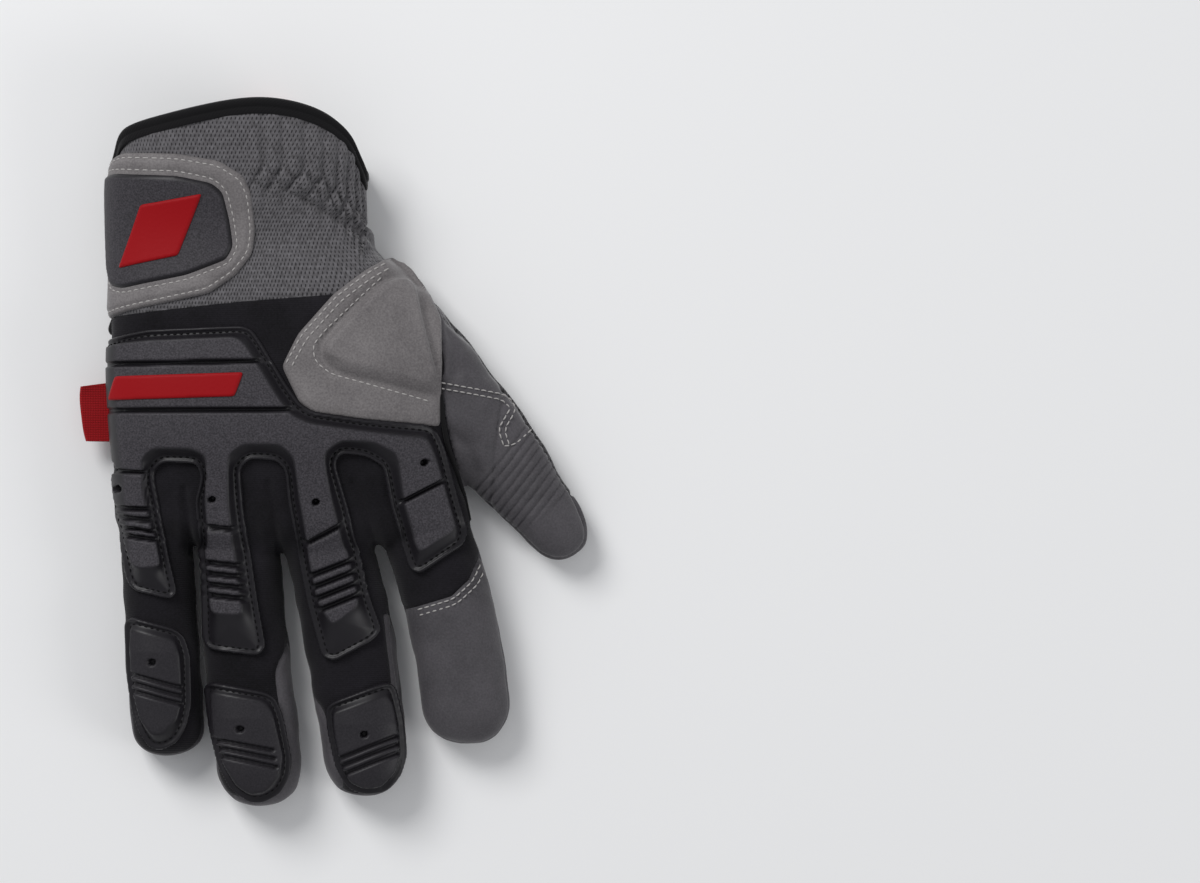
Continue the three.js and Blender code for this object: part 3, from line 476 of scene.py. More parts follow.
THUMB_RIB = 2.75  # mm from rib to rib on the thumb
# Cross ribs sewn in the fingers' pads: finger, first y, last y, count
PAD_RIBS = [("pinky", -76, -97, 7), ("ring", -76, -110, 9), ("middle", -60, -108, 12), ("index", -50, -92, 12)]


def relief(p, n, seams):
    """How far the cloth stands out of the form: seam valleys, gathers, ribs, folds and unevenness."""
    xy = p[:, :2]
    back = np.clip(n[:, 2] * 2 + 0.4, 0, 1)
    front = np.clip(-n[:, 2] * 2 + 0.4, 0, 1)
    up = seams["upper"]
    valley = lambda d, depth=0.75, width=0.85: -depth * np.exp(-(d / width) ** 2)
    total = valley(up)
    total += valley(seams["cuff"]) * (up > -1) * (seams["thumb"] < 0)
    total += valley(seams["thumb"]) * (up > -1)
    total += valley(seams["wrap"]) * (up > -1) * (xy[:, 0] > 14)
    total += valley(seams["palm_mesh"]) * (up < 1) * (seams["t"] < CAP_START)
    total += valley(seams["cap"]) * (up < 1) * (seams["palm_mesh"] > 0) * (seams["t"] > 20)
    total += gathers(p)
    phase = (seams["t"] + 0.235 * (seams["c"] - 60) + 0.004 * (seams["c"] - 44) ** 2) / THUMB_RIB
    ribbed = (np.clip((phase * THUMB_RIB - 32.5) / 1.5, 0, 1) * np.clip((63 - seams["t"]) / 3, 0, 1)
              * np.clip(up / 3, 0, 1))
    total += ribbed * (seams["thumb"] > 0) * (0.25 - 0.75 * np.exp(-((phase % 1 - 0.5) * THUMB_RIB / 0.5) ** 2))
    for folds, shown in ((BACK_FOLDS, back), (PALM_FOLDS, front)):
        for line, height, width in folds:
            total += shown * height * np.exp(-(line_distance(line, xy, False) / width) ** 2)
    for name, first, last, count in PAD_RIBS:
        along, (middle, half, _), _ = TUBES[name]["table"]
        a = (xy[:, 0] - np.interp(-xy[:, 1], along, middle)) / np.interp(-xy[:, 1], along, half)
        pitch = (first - last) / (count - 1)
        place = (first - xy[:, 1] - 2.5 * a * a) / pitch
        inside = (place > -0.5) & (place < count - 0.5) & (np.abs(a) < 1.02) & (xy[:, 1] < -44)
        total += inside * np.clip(-n[:, 2] * 3 - 1.6, 0, 1) * np.clip((0.95 - np.abs(a)) * 6, 0, 1) * (
            0.15 - 0.6 * np.exp(-((place + 0.5) % 1 - 0.5) ** 2 * (pitch / 0.55) ** 2))
    flat = np.clip((p[:, 2] - bench_level(p)) / 2.5, 0, 1)  # nothing moves where the bench presses the leather
    total += (0.28 * cloth_noise(p, 17, 3) + 0.1 * cloth_noise(p, 6.5, 4)) * flat
    return total


seams = panel_fields(form)
cloth = form + form_normal * relief(form, form_normal, seams)[:, None]
cloth[:, 2] = np.maximum(cloth[:, 2], 0.05)


def clipped(points, faces, keep):
    """The part of a triangle mesh where a column of its points is above 0, with new points where the
    column is 0 on the edges that cross it. Columns past the third ride along."""
    g = points[:, keep]
    inside = g[faces] > 0
    count = inside.sum(1)
    whole = faces[count == 3]
    turned = []
    for wanted, number in ((True, 1), (False, 2)):
        some, mask = faces[count == number], inside[count == number]
        first = np.argmax(mask == wanted, axis=1)
        turned.append(some[np.arange(len(some))[:, None], (first[:, None] + np.arange(3)) % 3])
    one, two = turned
    edges = np.concatenate([one[:, [0, 1]], one[:, [0, 2]], two[:, [0, 1]], two[:, [0, 2]]])
    key, back = np.unique(np.sort(edges, axis=1), axis=0, return_inverse=True)
    share = (g[key[:, 0]] / (g[key[:, 0]] - g[key[:, 1]]))[:, None]
    cut = points[key[:, 0]] * (1 - share) + points[key[:, 1]] * share
    back = back.ravel() + len(points)
    n, m = len(one), len(two)
    ab, ac, de, df = back[:n], back[n:2 * n], back[2 * n:2 * n + m], back[2 * n + m:]
    faces = np.concatenate([whole, np.stack([one[:, 0], ab, ac], -1),
                            np.stack([de, two[:, 1], two[:, 2]], -1), np.stack([de, two[:, 2], df], -1)])
    used, faces = np.unique(faces, return_inverse=True)
    return np.concatenate([points, cut])[used], faces.reshape(-1, 3)


CUTS = ("upper", "rim", "cuff", "thumb", "wrap", "palm_mesh", "cap", "roots")
COLUMN = {name: 3 + i for i, name in enumerate(CUTS)}
LINING = slice(3 + len(COLUMN), 6 + len(COLUMN))  # the columns of the lining's points
FORM = slice(6 + len(COLUMN), None)  # the columns of the form's own points
CLOTH_THICK = 1.8
lining = form - CLOTH_THICK * form_normal
lining[:, 2] = np.maximum(lining[:, 2], 0.1)
whole_hand = np.concatenate([cloth, *(seams[name][:, None] for name in COLUMN), lining, form], axis=1)


def panel(points, faces, *conditions):
    """Clip a mesh by conditions such as ('upper', 1): keep where that seam's distance times the sign is above 0."""
    for name, sign in conditions:
        points = points.copy()
        points[:, COLUMN[name]] *= sign
        points, faces = clipped(points, faces, COLUMN[name])
        points[:, COLUMN[name]] *= sign
    return points, faces


def joined(*parts):
    """Several meshes as one list of points and faces."""
    start = np.cumsum([0] + [len(points) for points, _ in parts])
    return np.concatenate([points for points, _ in parts]), np.concatenate([f + n for (_, f), n in zip(parts, start)])


def sewn_panel(name, part, material, nodes, slot, uv=None):
    """A panel of cloth with its lining and a flat-shaded wall along its edges, standing for CAD nodes. An
    edge is open where no face uses it the other way round."""
    points, faces = part
    count = len(points)
    edges = np.concatenate([faces[:, [0, 1]], faces[:, [1, 2]], faces[:, [2, 0]]])
    a, b = edges[~np.isin(edges @ [count, 1], edges @ [1, count])].T
    wall = np.concatenate([np.stack([b, a, a + count], -1), np.stack([b, a + count, b + count], -1)])
    smooth = np.arange(2 * len(faces) + len(wall)) < 2 * len(faces)
    made = new_object(name, np.concatenate([points[:, :3], points[:, LINING]]),
                      np.concatenate([faces, faces[:, ::-1] + count, wall]), material, smooth,
                      None if uv is None else np.concatenate([uv, uv]))
    declared(made, slot, *nodes)


hand_part = panel(whole_hand, form_faces, ("rim", 1))
back_part = panel(*hand_part, ("upper", 1))
palm_part = panel(*hand_part, ("upper", -1))

# ---------------------------------------------------------------- Back of the hand and fingers
# Black stretch knit of polyester and elastane over foam, cut in one piece over the knuckles and down the
# four fingers. It is matt and drinks light, and its fine courses show only close up.
knit, tree, shader = new_material("polyester stretch knit", {
    "Roughness": 0.95, "Sheen Weight": 0.08, "Sheen Roughness": 0.5, "Specular IOR Level": 0.15, "IOR": 1.5})
place = node(tree, "ShaderNodeTexCoord").outputs["Object"]
COURSE = 1.1e-3  # m from course to course
courses = node(tree, "ShaderNodeTexWave", {"wave_type": "BANDS", "bands_direction": "Y"}, {
    "Vector": place, "Scale": 1 / COURSE / 6.283 * 3.14, "Distortion": 1.2, "Detail": 2.0, "Detail Scale": 2.0})
fluff = node(tree, "ShaderNodeTexNoise", None, {"Vector": place, "Scale": 1400.0, "Detail": 3.0})
shade = node(tree, "ShaderNodeTexNoise", None, {"Vector": place, "Scale": 45.0, "Detail": 4.0})
mixed = node(tree, "ShaderNodeMath", {"operation": "MULTIPLY_ADD"}, {
    0: fluff.outputs["Fac"], 1: 0.6, 2: shade.outputs["Fac"]})
half = node(tree, "ShaderNodeMath", {"operation": "MULTIPLY"}, {0: mixed.outputs[0], 1: 0.62})
tone = node(tree, "ShaderNodeValToRGB", {"ramp": ((0.3, "#0C0B0D"), (0.75, "#232126"))}, {"Fac": half.outputs[0]})
high = node(tree, "ShaderNodeMath", {"operation": "ADD"}, {0: courses.outputs["Fac"], 1: fluff.outputs["Fac"]})
bump = node(tree, "ShaderNodeBump", None, {"Height": high.outputs[0], "Strength": 0.35, "Distance": 0.0002})
feed(shader, {"Base Color": tone.outputs["Color"], "Normal": bump.outputs["Normal"]})

inner_back = panel(*back_part, ("thumb", -1))
knit_part = panel(*inner_back, ("cuff", -1))
wrap_part = panel(*knit_part, ("wrap", 1))
sewn_panel("back_knit", panel(*knit_part, ("wrap", -1)), knit,
           ["back_fabric", "pinky_back", "ring_back", "middle_back", "index_back"], "stretch_knit")

# ---------------------------------------------------------------- Leather of the palm, fingers and thumb
# Dark gray synthetic leather, a polyurethane skin on microfibre: the palm, the four finger fronts, the wrap
# of the index finger's tip and the thumb's ribbed top. It is matt, with a fine grain, paler specks and a
# soft sheen where it bends.


def leather(name, dark, pale, grain_mm, speck):
    """Synthetic leather: tone from large soft noise and fine specks, grain from Voronoi cells. speck is the
    specks' share against the soft noise."""
    made, tree, shader = new_material(name, {
        "Roughness": 0.68, "Specular IOR Level": 0.35, "IOR": 1.5, "Sheen Weight": 0.2, "Sheen Roughness": 0.4})
    place = node(tree, "ShaderNodeTexCoord").outputs["Object"]
    soft = node(tree, "ShaderNodeTexNoise", None, {"Vector": place, "Scale": 55.0, "Detail": 5.0, "Roughness": 0.6})
    fine = node(tree, "ShaderNodeTexNoise", None, {"Vector": place, "Scale": 1500.0, "Detail": 2.0})
    cells = node(tree, "ShaderNodeTexVoronoi", None, {"Vector": place, "Scale": 1000 / grain_mm})
    total = node(tree, "ShaderNodeMath", {"operation": "MULTIPLY_ADD"}, {
        0: fine.outputs["Fac"], 1: speck, 2: soft.outputs["Fac"]})
    half = node(tree, "ShaderNodeMath", {"operation": "DIVIDE"}, {0: total.outputs[0], 1: 1 + speck})
    tone = node(tree, "ShaderNodeValToRGB", {"ramp": ((0.32, dark), (0.68, pale))}, {"Fac": half.outputs[0]})
    high = node(tree, "ShaderNodeMath", {"operation": "ADD"}, {0: cells.outputs["Distance"], 1: fine.outputs["Fac"]})
    bump = node(tree, "ShaderNodeBump", None, {"Height": high.outputs[0], "Strength": 0.25, "Distance": 0.00012})
    feed(shader, {"Base Color": tone.outputs["Color"], "Normal": bump.outputs["Normal"]})
    return made


palm_skin = leather("synthetic leather, dark gray", "#3C3A3D", "#545155", 0.7, 0.8)
leather_side = panel(*palm_part, ("palm_mesh", -1))
mesh_side = panel(*palm_part, ("palm_mesh", 1))
tip_cap = panel(*mesh_side, ("cap", 1))
sewn_panel("palm_leather", panel(*leather_side, ("roots", -1)), palm_skin, ["palm_leather", "thumb_inside"],
           "palm_leather")
sewn_panel("finger_fronts", panel(*leather_side, ("roots", 1)), palm_skin,
           ["pinky_front", "ring_front", "middle_front", "index_front"], "palm_leather")
sewn_panel("index_wrap", wrap_part, palm_skin, ["index_wrap"], "palm_leather")
thumb_part = panel(*back_part, ("thumb", 1))
sewn_panel("thumb_leather", joined(thumb_part, tip_cap), palm_skin, ["thumb_top", "thumb_cap"], "palm_leather")

# ---------------------------------------------------------------- Mesh of the cuff and the thumb's outside
# Warp-knitted polyester air mesh over foam. Its face has short holes in staggered rows, whose insides are
# painted dark as painted shade, and the ground between them is a matt gray.
HOLE_APART, ROW_APART = 1.15, 1.45  # mm


def air_mesh(name, dark, pale, hole):
    """Air mesh: rows of short slanted holes from two brick patterns on the piece's own pattern map, with
    the colour hole painted in them as painted shade for their insides.
    """
    made, tree, shader = new_material(name, {
        "Roughness": 0.85, "Specular IOR Level": 0.3, "IOR": 1.5, "Sheen Weight": 0.3, "Sheen Roughness": 0.45})
    place = node(tree, "ShaderNodeTexCoord").outputs["Object"]
    pattern = node(tree, "ShaderNodeUVMap", {"uv_map": "pattern"}).outputs[0]
    flat = node(tree, "ShaderNodeSeparateXYZ", None, {0: pattern})
    wobble = node(tree, "ShaderNodeTexNoise", None, {"Vector": place, "Scale": 260.0, "Detail": 1.0})
    soft = node(tree, "ShaderNodeTexNoise", None, {"Vector": place, "Scale": 700.0, "Detail": 4.0})
    value = {"x": flat.outputs["X"], "y": flat.outputs["Y"], "wobble": wobble.outputs["Fac"], "soft": soft.outputs["Fac"]}
    for key, operation, *terms in (  # a name, what is done, and with which values
            ("row", "MULTIPLY", "y", 1000 / ROW_APART), ("rows", "FLOOR", "row"), ("shift", "MULTIPLY", "rows", 0.5),
            ("column", "MULTIPLY_ADD", "x", 1000 / HOLE_APART, "shift"),
            ("in column", "FRACT", "column"), ("a", "SUBTRACT", "in column", 0.5),
            ("in row", "FRACT", "row"), ("b", "SUBTRACT", "in row", 0.5),
            ("slanted", "MULTIPLY_ADD", "b", 0.22, "a"), ("aside", "ABSOLUTE", "slanted"),
            ("across", "MULTIPLY", "aside", 5.2), ("above", "ABSOLUTE", "b"), ("up", "MULTIPLY", "above", 2.5),
            ("across 2", "POWER", "across", 2.0), ("up 2", "POWER", "up", 2.0), ("both", "ADD", "across 2", "up 2"),
            ("away", "POWER", "both", 0.5), ("nearer", "SUBTRACT", "away", 0.25),
            ("ragged", "MULTIPLY_ADD", "wobble", 0.5, "nearer"), ("fuzz", "MULTIPLY", "soft", 0.4)):
        value[key] = node(tree, "ShaderNodeMath", {"operation": operation}, {
            i: value.get(term, term) for i, term in enumerate(terms)}).outputs[0]
    hole_open = node(tree, "ShaderNodeMapRange", {"interpolation_type": "SMOOTHSTEP"}, {
        "Value": value["ragged"], "From Min": 0.55, "From Max": 1.15, "To Min": 1.0, "To Max": 0.0}).outputs[0]
    high = node(tree, "ShaderNodeMath", {"operation": "MULTIPLY_ADD"}, {0: hole_open, 1: -1.0, 2: value["fuzz"]})
    tone = node(tree, "ShaderNodeValToRGB", {"ramp": ((0.3, dark), (0.7, pale))}, {"Fac": soft.outputs["Fac"]})
    # Painted shade: the holes take the dark colour hole in place of the shade inside them.
    seen = node(tree, "ShaderNodeMix", {"data_type": "RGBA"}, {
        "Factor": hole_open, "A": tone.outputs["Color"], "B": linear(hole)})
    bump = node(tree, "ShaderNodeBump", None, {"Height": high.outputs[0], "Strength": 0.7, "Distance": 0.0004})
    feed(shader, {"Base Color": seen.outputs["Result"], "Normal": bump.outputs["Normal"]})
    return made


def wrist_map(points):
    """Flat pattern round the wrist: arc length from the angle about its middle, and y."""
    angle = np.arctan2(points[:, 2] - WRIST[2], (points[:, 0] - WRIST[0]) / 1.9)
    angle = np.where(angle < -np.pi / 2, angle + 2 * np.pi, angle)
    turns = np.linspace(-np.pi / 2, 1.5 * np.pi, 721)
    ring = np.stack([WRIST_HALF * np.cos(turns), 19 * np.sin(turns)], -1)
    seen = np.arctan2(ring[:, 1], ring[:, 0] / 1.9)
    seen = np.where(seen < -np.pi / 2 - 1e-6, seen + 2 * np.pi, seen)
    arc = lengths(ring)
    order = np.argsort(seen)
    return np.stack([np.interp(angle, seen[order], arc[order]), points[:, 1]], -1)


def thumb_map(points):
    """Flat pattern round the thumb: arc length from the angle about its axis, and place along it."""
    t, c = thumb_axes(points)
    return np.stack([np.arctan2(points[:, 2] - 10, c - 44) * 13, -t], -1)


# The last colour of each mesh is painted shade inside its holes.
cuff_cloth = air_mesh("polyester air mesh, gray", "#4E4C4E", "#69676A", "#2B292C")
thumb_cloth = air_mesh("polyester air mesh, dark gray", "#302F31", "#454345", "#171718")
cuff_part = panel(*inner_back, ("cuff", 1))
sewn_panel("cuff_mesh", cuff_part, cuff_cloth, ["cuff_mesh"], "cuff_mesh", wrist_map(cuff_part[0][:, FORM]))
side_part = panel(*mesh_side, ("cap", -1))
sewn_panel("thumb_mesh", side_part, thumb_cloth, ["thumb_mesh"], "thumb_mesh", thumb_map(side_part[0][:, FORM]))

# ---------------------------------------------------------------- Edge binding
# A black woven polyester tape folded over the cuff's edge and sewn through, so that it has a fat rolled
# edge and a flatter band below the stitch line.
BINDING_WIDE = 5.6


def met(foot, ray, near, far, times=18):
    """Points where rays leave the hand, found by halving the stretch between near and far."""
    near, far = np.full(len(foot), near), np.full(len(foot), far)
    for _ in range(times):
        half = (near + far) / 2
        out = hand_distance(foot + ray * half[:, None]) > 0
        near, far = np.where(out, near, half), np.where(out, half, far)
    return foot + ray * near[:, None]


def wrist_ring(angles, setback):
    """Points of the hand on a ring that lies a setback short of the cuff's edge, at angles in degrees."""
    turn = np.radians(angles)
    y = np.interp(angles, np.arange(360), EDGE, period=360) - setback
    ray = np.stack([WRIST_HALF * np.cos(turn), 0 * turn, WRIST_RISE * np.sin(turn)], -1)
    return met(WRIST + y[:, None] * [0, 1, 0], ray, 0.3, 1.6, 22)


def smooth_ring(values, times=6):
    """Soften a closed row of points by repeated averaging with its neighbours."""
    for _ in range(times):
        values = (np.roll(values, 1, axis=0) + values * 2 + np.roll(values, -1, axis=0)) / 4
    return values


def grid_faces(rows, columns, rows_close=False, columns_close=False):
    """Quads of a grid of points; either way it may close on itself."""
    i, j = np.meshgrid(np.arange(rows - (not rows_close)), np.arange(columns - (not columns_close)), indexing="ij")
    i2, j2 = (i + 1) % rows, (j + 1) % columns
    return np.stack([i * columns + j, i2 * columns + j, i2 * columns + j2, i * columns + j2], -1).reshape(-1, 4)


angles = np.linspace(0, 360, 480, endpoint=False)
edge = smooth_ring(wrist_ring(angles, 0.0))
back_edge = smooth_ring(wrist_ring(angles, BINDING_WIDE))
along = unit(edge - back_edge)
around = np.roll(edge, -1, axis=0) - np.roll(edge, 1, axis=0)
out = unit(np.cross(around, along))
out *= np.sign((out * (edge - WRIST))[:, [0, 2]].sum(1))[:, None]
# The tape's section: (place along the cuff from its free edge, height out of the cloth)
section = np.array([
    (-5.6, -0.2), (-5.5, 0.55), (-4.6, 0.75), (-3.6, 0.72), (-3.0, 0.45), (-2.6, 0.75), (-1.9, 1.15), (-1.0, 1.15),
    (-0.3, 0.7), (0.0, -0.1), (0.1, -0.8), (-0.1, -1.6), (-0.8, -2.3), (-1.9, -2.5), (-3.4, -2.3), (-5.4, -2.4),
    (-5.6, -1.7), (-5.6, -0.2)])
at = np.linspace(0, len(section) - 1, 51, endpoint=False)
section = np.stack([np.interp(at, np.arange(len(section)), column) for column in section.T], -1)
section = smooth_ring(section, 2)
gather_wave = 0.35 * cloth_noise(edge, 16, 12)[:, None]
tape = (edge[:, None] + along[:, None] * section[None, :, :1]
        + out[:, None] * (section[None, :, 1:] + gather_wave[:, None]))
tape_faces = grid_faces(len(angles), len(section), True, True)
tape_uv = np.stack([np.repeat(lengths(edge), len(section)), np.tile(np.linspace(0, 14, len(section)), len(angles))], -1)

black_tape, tree, shader = new_material("polyester binding tape, black", {
    "Base Color": linear("#0E0D0F"), "Roughness": 0.85, "Specular IOR Level": 0.2, "IOR": 1.5,
    "Sheen Weight": 0.08, "Sheen Roughness": 0.5})
weave = node(tree, "ShaderNodeTexWave", {"wave_type": "BANDS", "bands_direction": "DIAGONAL"}, {
    "Vector": node(tree, "ShaderNodeUVMap", {"uv_map": "pattern"}).outputs[0], "Scale": 500.0, "Distortion": 0.6})
bump = node(tree, "ShaderNodeBump", None, {"Height": weave.outputs["Fac"], "Strength": 0.4, "Distance": 0.0002})
feed(shader, {"Normal": bump.outputs["Normal"]})
binding = new_object("cuff_binding", tape.reshape(-1, 3), tape_faces, black_tape, uv=tape_uv)
declared(binding, "binding", "cuff_binding")


def turned_out(thing):
    """Turn a closed mesh's faces outward where its signed volume is below zero."""
    mesh = thing.data
    mesh.calc_loop_triangles()
    points = np.empty(len(mesh.vertices) * 3)
    mesh.vertices.foreach_get("co", points)
    points = points.reshape(-1, 3)
    tris = np.empty(len(mesh.loop_triangles) * 3, np.int32)
    mesh.loop_triangles.foreach_get("vertices", tris)
    a, b, c = points[tris.reshape(-1, 3)].transpose(1, 0, 2)
    if (np.cross(a, b) * c).sum() < 0:
        mesh.flip_normals()


turned_out(binding)

# ---------------------------------------------------------------- Knuckle guard
# One piece of thermoplastic rubber (TPR), injection moulded and sewn through the groove behind its outer
# bead. Its raised face has a spark-eroded grain, and its chamfers, grooves and vents are smooth.
# Left of TURN_X the pattern wraps round the little finger's side, about a line at TURN_Z
TURN_X, TURN_Z, TURN_RADIUS, PINKY_RADIUS = -58.0, 12.0, 18.0, 13.6


def step(value, low, high):
    """0 at low, 1 at high and past it, and a smooth cubic between."""
    t = np.clip((value - low) / (high - low), 0, 1)
    return t * t * (3 - 2 * t)


def on_back(uv, lift=0.0):
    """Points of the hand's back over a flat pattern, lifted out of it. A ray comes straight down at x = u,
    and left of TURN_X it turns about a line inside the hand: on the palm by its distance over TURN_RADIUS,
    and on the little finger, whose pattern is seen from straight above, by the angle whose sine it is."""
    u, v = uv[:, 0], uv[:, 1]
    share = np.maximum(TURN_X - u, 0) / PINKY_RADIUS
    seen = np.arcsin(np.minimum(share, 0.85)) + np.maximum(share - 0.85, 0) * 1.9
    turn = seen + (share * PINKY_RADIUS / TURN_RADIUS - seen) * step(v, -12, -3)
    return struck(np.maximum(u, TURN_X), v, turn, lift)


def on_pinky_tip(uv, lift=0.0):
    """Points of the little finger's tip under a flat pattern seen from straight above, whose left part is
    narrowed by 8% for the thickness of what lies there."""
    u = np.where(uv[:, 0] < -57, -57 + 0.92 * (uv[:, 0] + 57), uv[:, 0])
    return struck(u, uv[:, 1], 0 * u, lift)


def struck(x, y, turn, lift):
    """Points where rays from inside the hand meet its back, turned to the left from straight up and lifted."""
    foot = np.stack([x, y, np.full(len(x), TURN_Z)], -1)
    ray = np.stack([-np.sin(turn), 0 * x, np.cos(turn)], -1)
    p = met(foot, ray, 0.0, 60.0)
    return p + outward(p) * np.reshape(lift, (-1, 1))


def patch(outline, pitch):
    """A grid of points over an outline, cut to it: points near its edge are moved onto it. Gives the
    points, quads, the distance from the edge, and the pairs of points along the edge."""
    low, high = outline.min(0) - 2 * pitch, outline.max(0) + 2 * pitch
    xs, ys = (np.arange(a, b, pitch) for a, b in zip(low, high))
    grid = np.stack(np.meshgrid(xs, ys, indexing="ij"), -1).reshape(-1, 2)
    d = outline_distance(outline, grid)
    quads = grid_faces(len(xs), len(ys))
    quads = quads[(d[quads] > -0.45 * pitch).all(1)]
    used, quads = np.unique(quads, return_inverse=True)
    quads = quads.reshape(-1, 4)
    grid, d = grid[used], d[used]
    pairs = np.concatenate([quads[:, [i, (i + 1) % 4]] for i in range(4)])
    _, first, number = np.unique(np.sort(pairs, axis=1), axis=0, return_index=True, return_counts=True)
    border = pairs[first[number == 1]]
    rim = np.unique(border)
    best = np.full(len(rim), np.inf)
    snapped = grid[rim].copy()
    for a, b in zip(outline, np.roll(outline, -1, axis=0)):
        share = np.clip(((grid[rim] - a) @ (b - a)) / max((b - a) @ (b - a), 1e-9), 0, 1)
        spot = a + share[:, None] * (b - a)
        length = np.hypot(*(grid[rim] - spot).T)
        snapped = np.where((length < best)[:, None], spot, snapped)
        best = np.minimum(best, length)
    grid[rim], d[rim] = snapped, 0.0
    return grid, quads, np.maximum(d, 0), border


def laid_on(name, outline, height, material, slot, nodes, pitch=0.5, sink=0.4, place=on_back, grain=None):
    """A moulded or cut piece lying on the hand: its top stands out by height(uv, distance from its edge),
    and a wall goes down from its edge into the cloth. grain(uv, distance) is where it is grained, 0 to 1."""
    flat, quads, d, border = patch(outline, pitch)
    top = place(flat, height(flat, d))
    rim = np.unique(border)
    number = np.full(len(flat), -1)
    number[rim] = np.arange(len(rim)) + len(flat)
    foot = place(flat[rim], -sink)
    wall = np.stack([border[:, 1], border[:, 0], number[border[:, 0]], number[border[:, 1]]], -1)
    made = new_object(name, np.concatenate([top, foot]), np.concatenate([quads, wall]), material,
                      uv=np.concatenate([flat, flat[rim]]))
    a, b, c = (top[quads[:, i]] for i in range(3))
    if (np.cross(b - a, c - a) * (top[quads[:, 0]] - place(flat[quads[:, 0]], -1.0))).sum() < 0:
        made.data.flip_normals()
    if grain:
        values = np.append(grain(flat, d), np.zeros(len(rim))).astype(np.float32)
        made.data.attributes.new("grained", "FLOAT", "POINT").data.foreach_set("value", values)
    return declared(made, slot, *nodes)


def cut(h, uv, slits, depth, top, floor, holes, hole_depth):
    """A moulding's height with slits (from, to, half width) cut along lines, which fall off smoothly at
    their sides, down to a floor and only where it is near its top, and with round vent holes."""
    for a, b, half in slits:
        slit = 1 - step(line_distance([a, b], uv, False), half * 0.45, half * 1.35)
        h = np.maximum(h - depth * slit * step(h, 1.2, top), np.minimum(h, floor))
    for hole in holes:
        h = h - hole_depth * (1 - step(np.hypot(*(uv - np.array(hole)).T), 0.95, 1.35))
    return h


GROOVE_HIGH, FACE_HIGH = 1.0, 4.4  # mm, of the guard's stitch groove and of its face


def bead_and_groove(d):
    """The sewn edge of a moulding: a rounded bead 1.5 wide, then the stitch groove. Heights in mm."""
    bead = 1.95 * np.sqrt(np.clip(1 - ((d - 0.85) / 0.85) ** 2, 0, 1))
    return np.where(d < 1.35, np.maximum(bead, 0.2), np.maximum(np.minimum(1.6, bead), GROOVE_HIGH))


GUARD = rounded([
    (-88, 38.4), (-77, 39.3), (-60.9, 42.5), (-29.4, 43.8), (-26, 42.8), (-22.9, 38.6), (-14, 23.8), (-9.2, 17.1),
    (-4.8, 14.7), (11.5, 12.3), (33.6, 10.2), (36.3, 8.2), (38.6, 2.7), (43.1, -14.7), (46.5, -26), (45.5, -31.1),
    (31.1, -41), (27.7, -39.7), (20.8, -18.1), (18.1, -4.1), (12.3, -0.7), (4.4, 0.3), (2.4, -2.7), (6.8, -18.1),
    (13.7, -49.6), (17.4, -59.9), (15, -63.6), (1.6, -71), (-2.4, -69.4), (-7.2, -51.3), (-14.1, -16.4),
    (-15, -5.5), (-17.8, -2.1), (-26.7, -1.6), (-29.8, -4.8), (-28.9, -18.1), (-24.6, -49.6), (-21.9, -66),
    (-24.3, -69.1), (-40.7, -67), (-42.8, -64.3), (-43.4, -42.4), (-45.8, -15.7), (-43.4, -7.2), (-45.1, -3.1),
    (-56.4, -2.7), (-59.5, -5.8), (-57.8, -16.4), (-55.1, -33.9), (-52.3, -47.2), (-54, -49.9), (-67.7, -46.9),
    (-69.8, -43.1), (-72.5, -25), (-76, -5.5), (-90, -3)], 1.3, 0.6)
FACE = rounded([
    (-92, 34.6), (-60, 38.4), (-31, 39.6), (-28, 37.2), (-17, 19.6), (-12.2, 13.2), (-6, 10.6), (11, 8.2), (31.6, 5.6),
    (34.6, -2), (39.6, -19), (41.6, -26), (31.2, -33.4), (25.6, -18), (22.2, 0.8), (15, 4.6), (4, 5.2),
    (-1.6, 1.2), (0.8, -14), (8.6, -48), (9.2, -51.5), (1.6, -58), (-3, -50), (-10, -14), (-11.6, 0),
    (-16, 4), (-28.6, 4.2), (-33.6, 0.8), (-33.8, -16), (-31, -44), (-29.6, -54.5), (-38.6, -54), (-39.6, -42),
    (-41.6, -14), (-41, 0.6), (-46, 2.8), (-58.6, 2.8), (-62.4, -0.8), (-61.4, -16), (-58.6, -33), (-57.6, -38),
    (-66, -38.6), (-68.2, -31), (-70.6, -16), (-74, -3), (-92, 0)], 1.5, 0.6)
SLITS = (
    [((-95, 30.2), (-70, 30.6), 0.8), ((-70, 30.6), (-20, 31.6), 0.8), ((-95, 14.6), (-70, 15.0), 0.85),
     ((-70, 15.0), (-10, 15.4), 0.85), ((-10, 15.4), (36, 8.4), 0.75), ((-73, -5.4), (-59, -5.6), 0.8),
     ((-44, -23.2), (-29.6, -24.8), 0.8), ((-9.5, -29.4), (6.0, -22.2), 0.8), ((23.6, -16.2), (39.2, -8.2), 0.8)]
    + [((-71.6 + 0.2 * i, -18.0 - 3.07 * i), (-57.6 + 0.1 * i, -18.5 - 3.6 * i), 0.85) for i in range(4)]
    + [((-42.6 + 0.3 * i, -36.4 - 3.7 * i), (-28.4 + 0.4 * i, -38.2 - 3.75 * i), 0.95) for i in range(4)]
    + [((-5.8 + 0.7 * i, -41.3 - 4.0 * i), (9.6 + 0.8 * i, -35 - 3.85 * i), 0.95) for i in range(4)])
HOLES = [(-68.9, -11.6), (-39.3, -14.7), (-4.4, -15.6), (31.1, -2.7)]


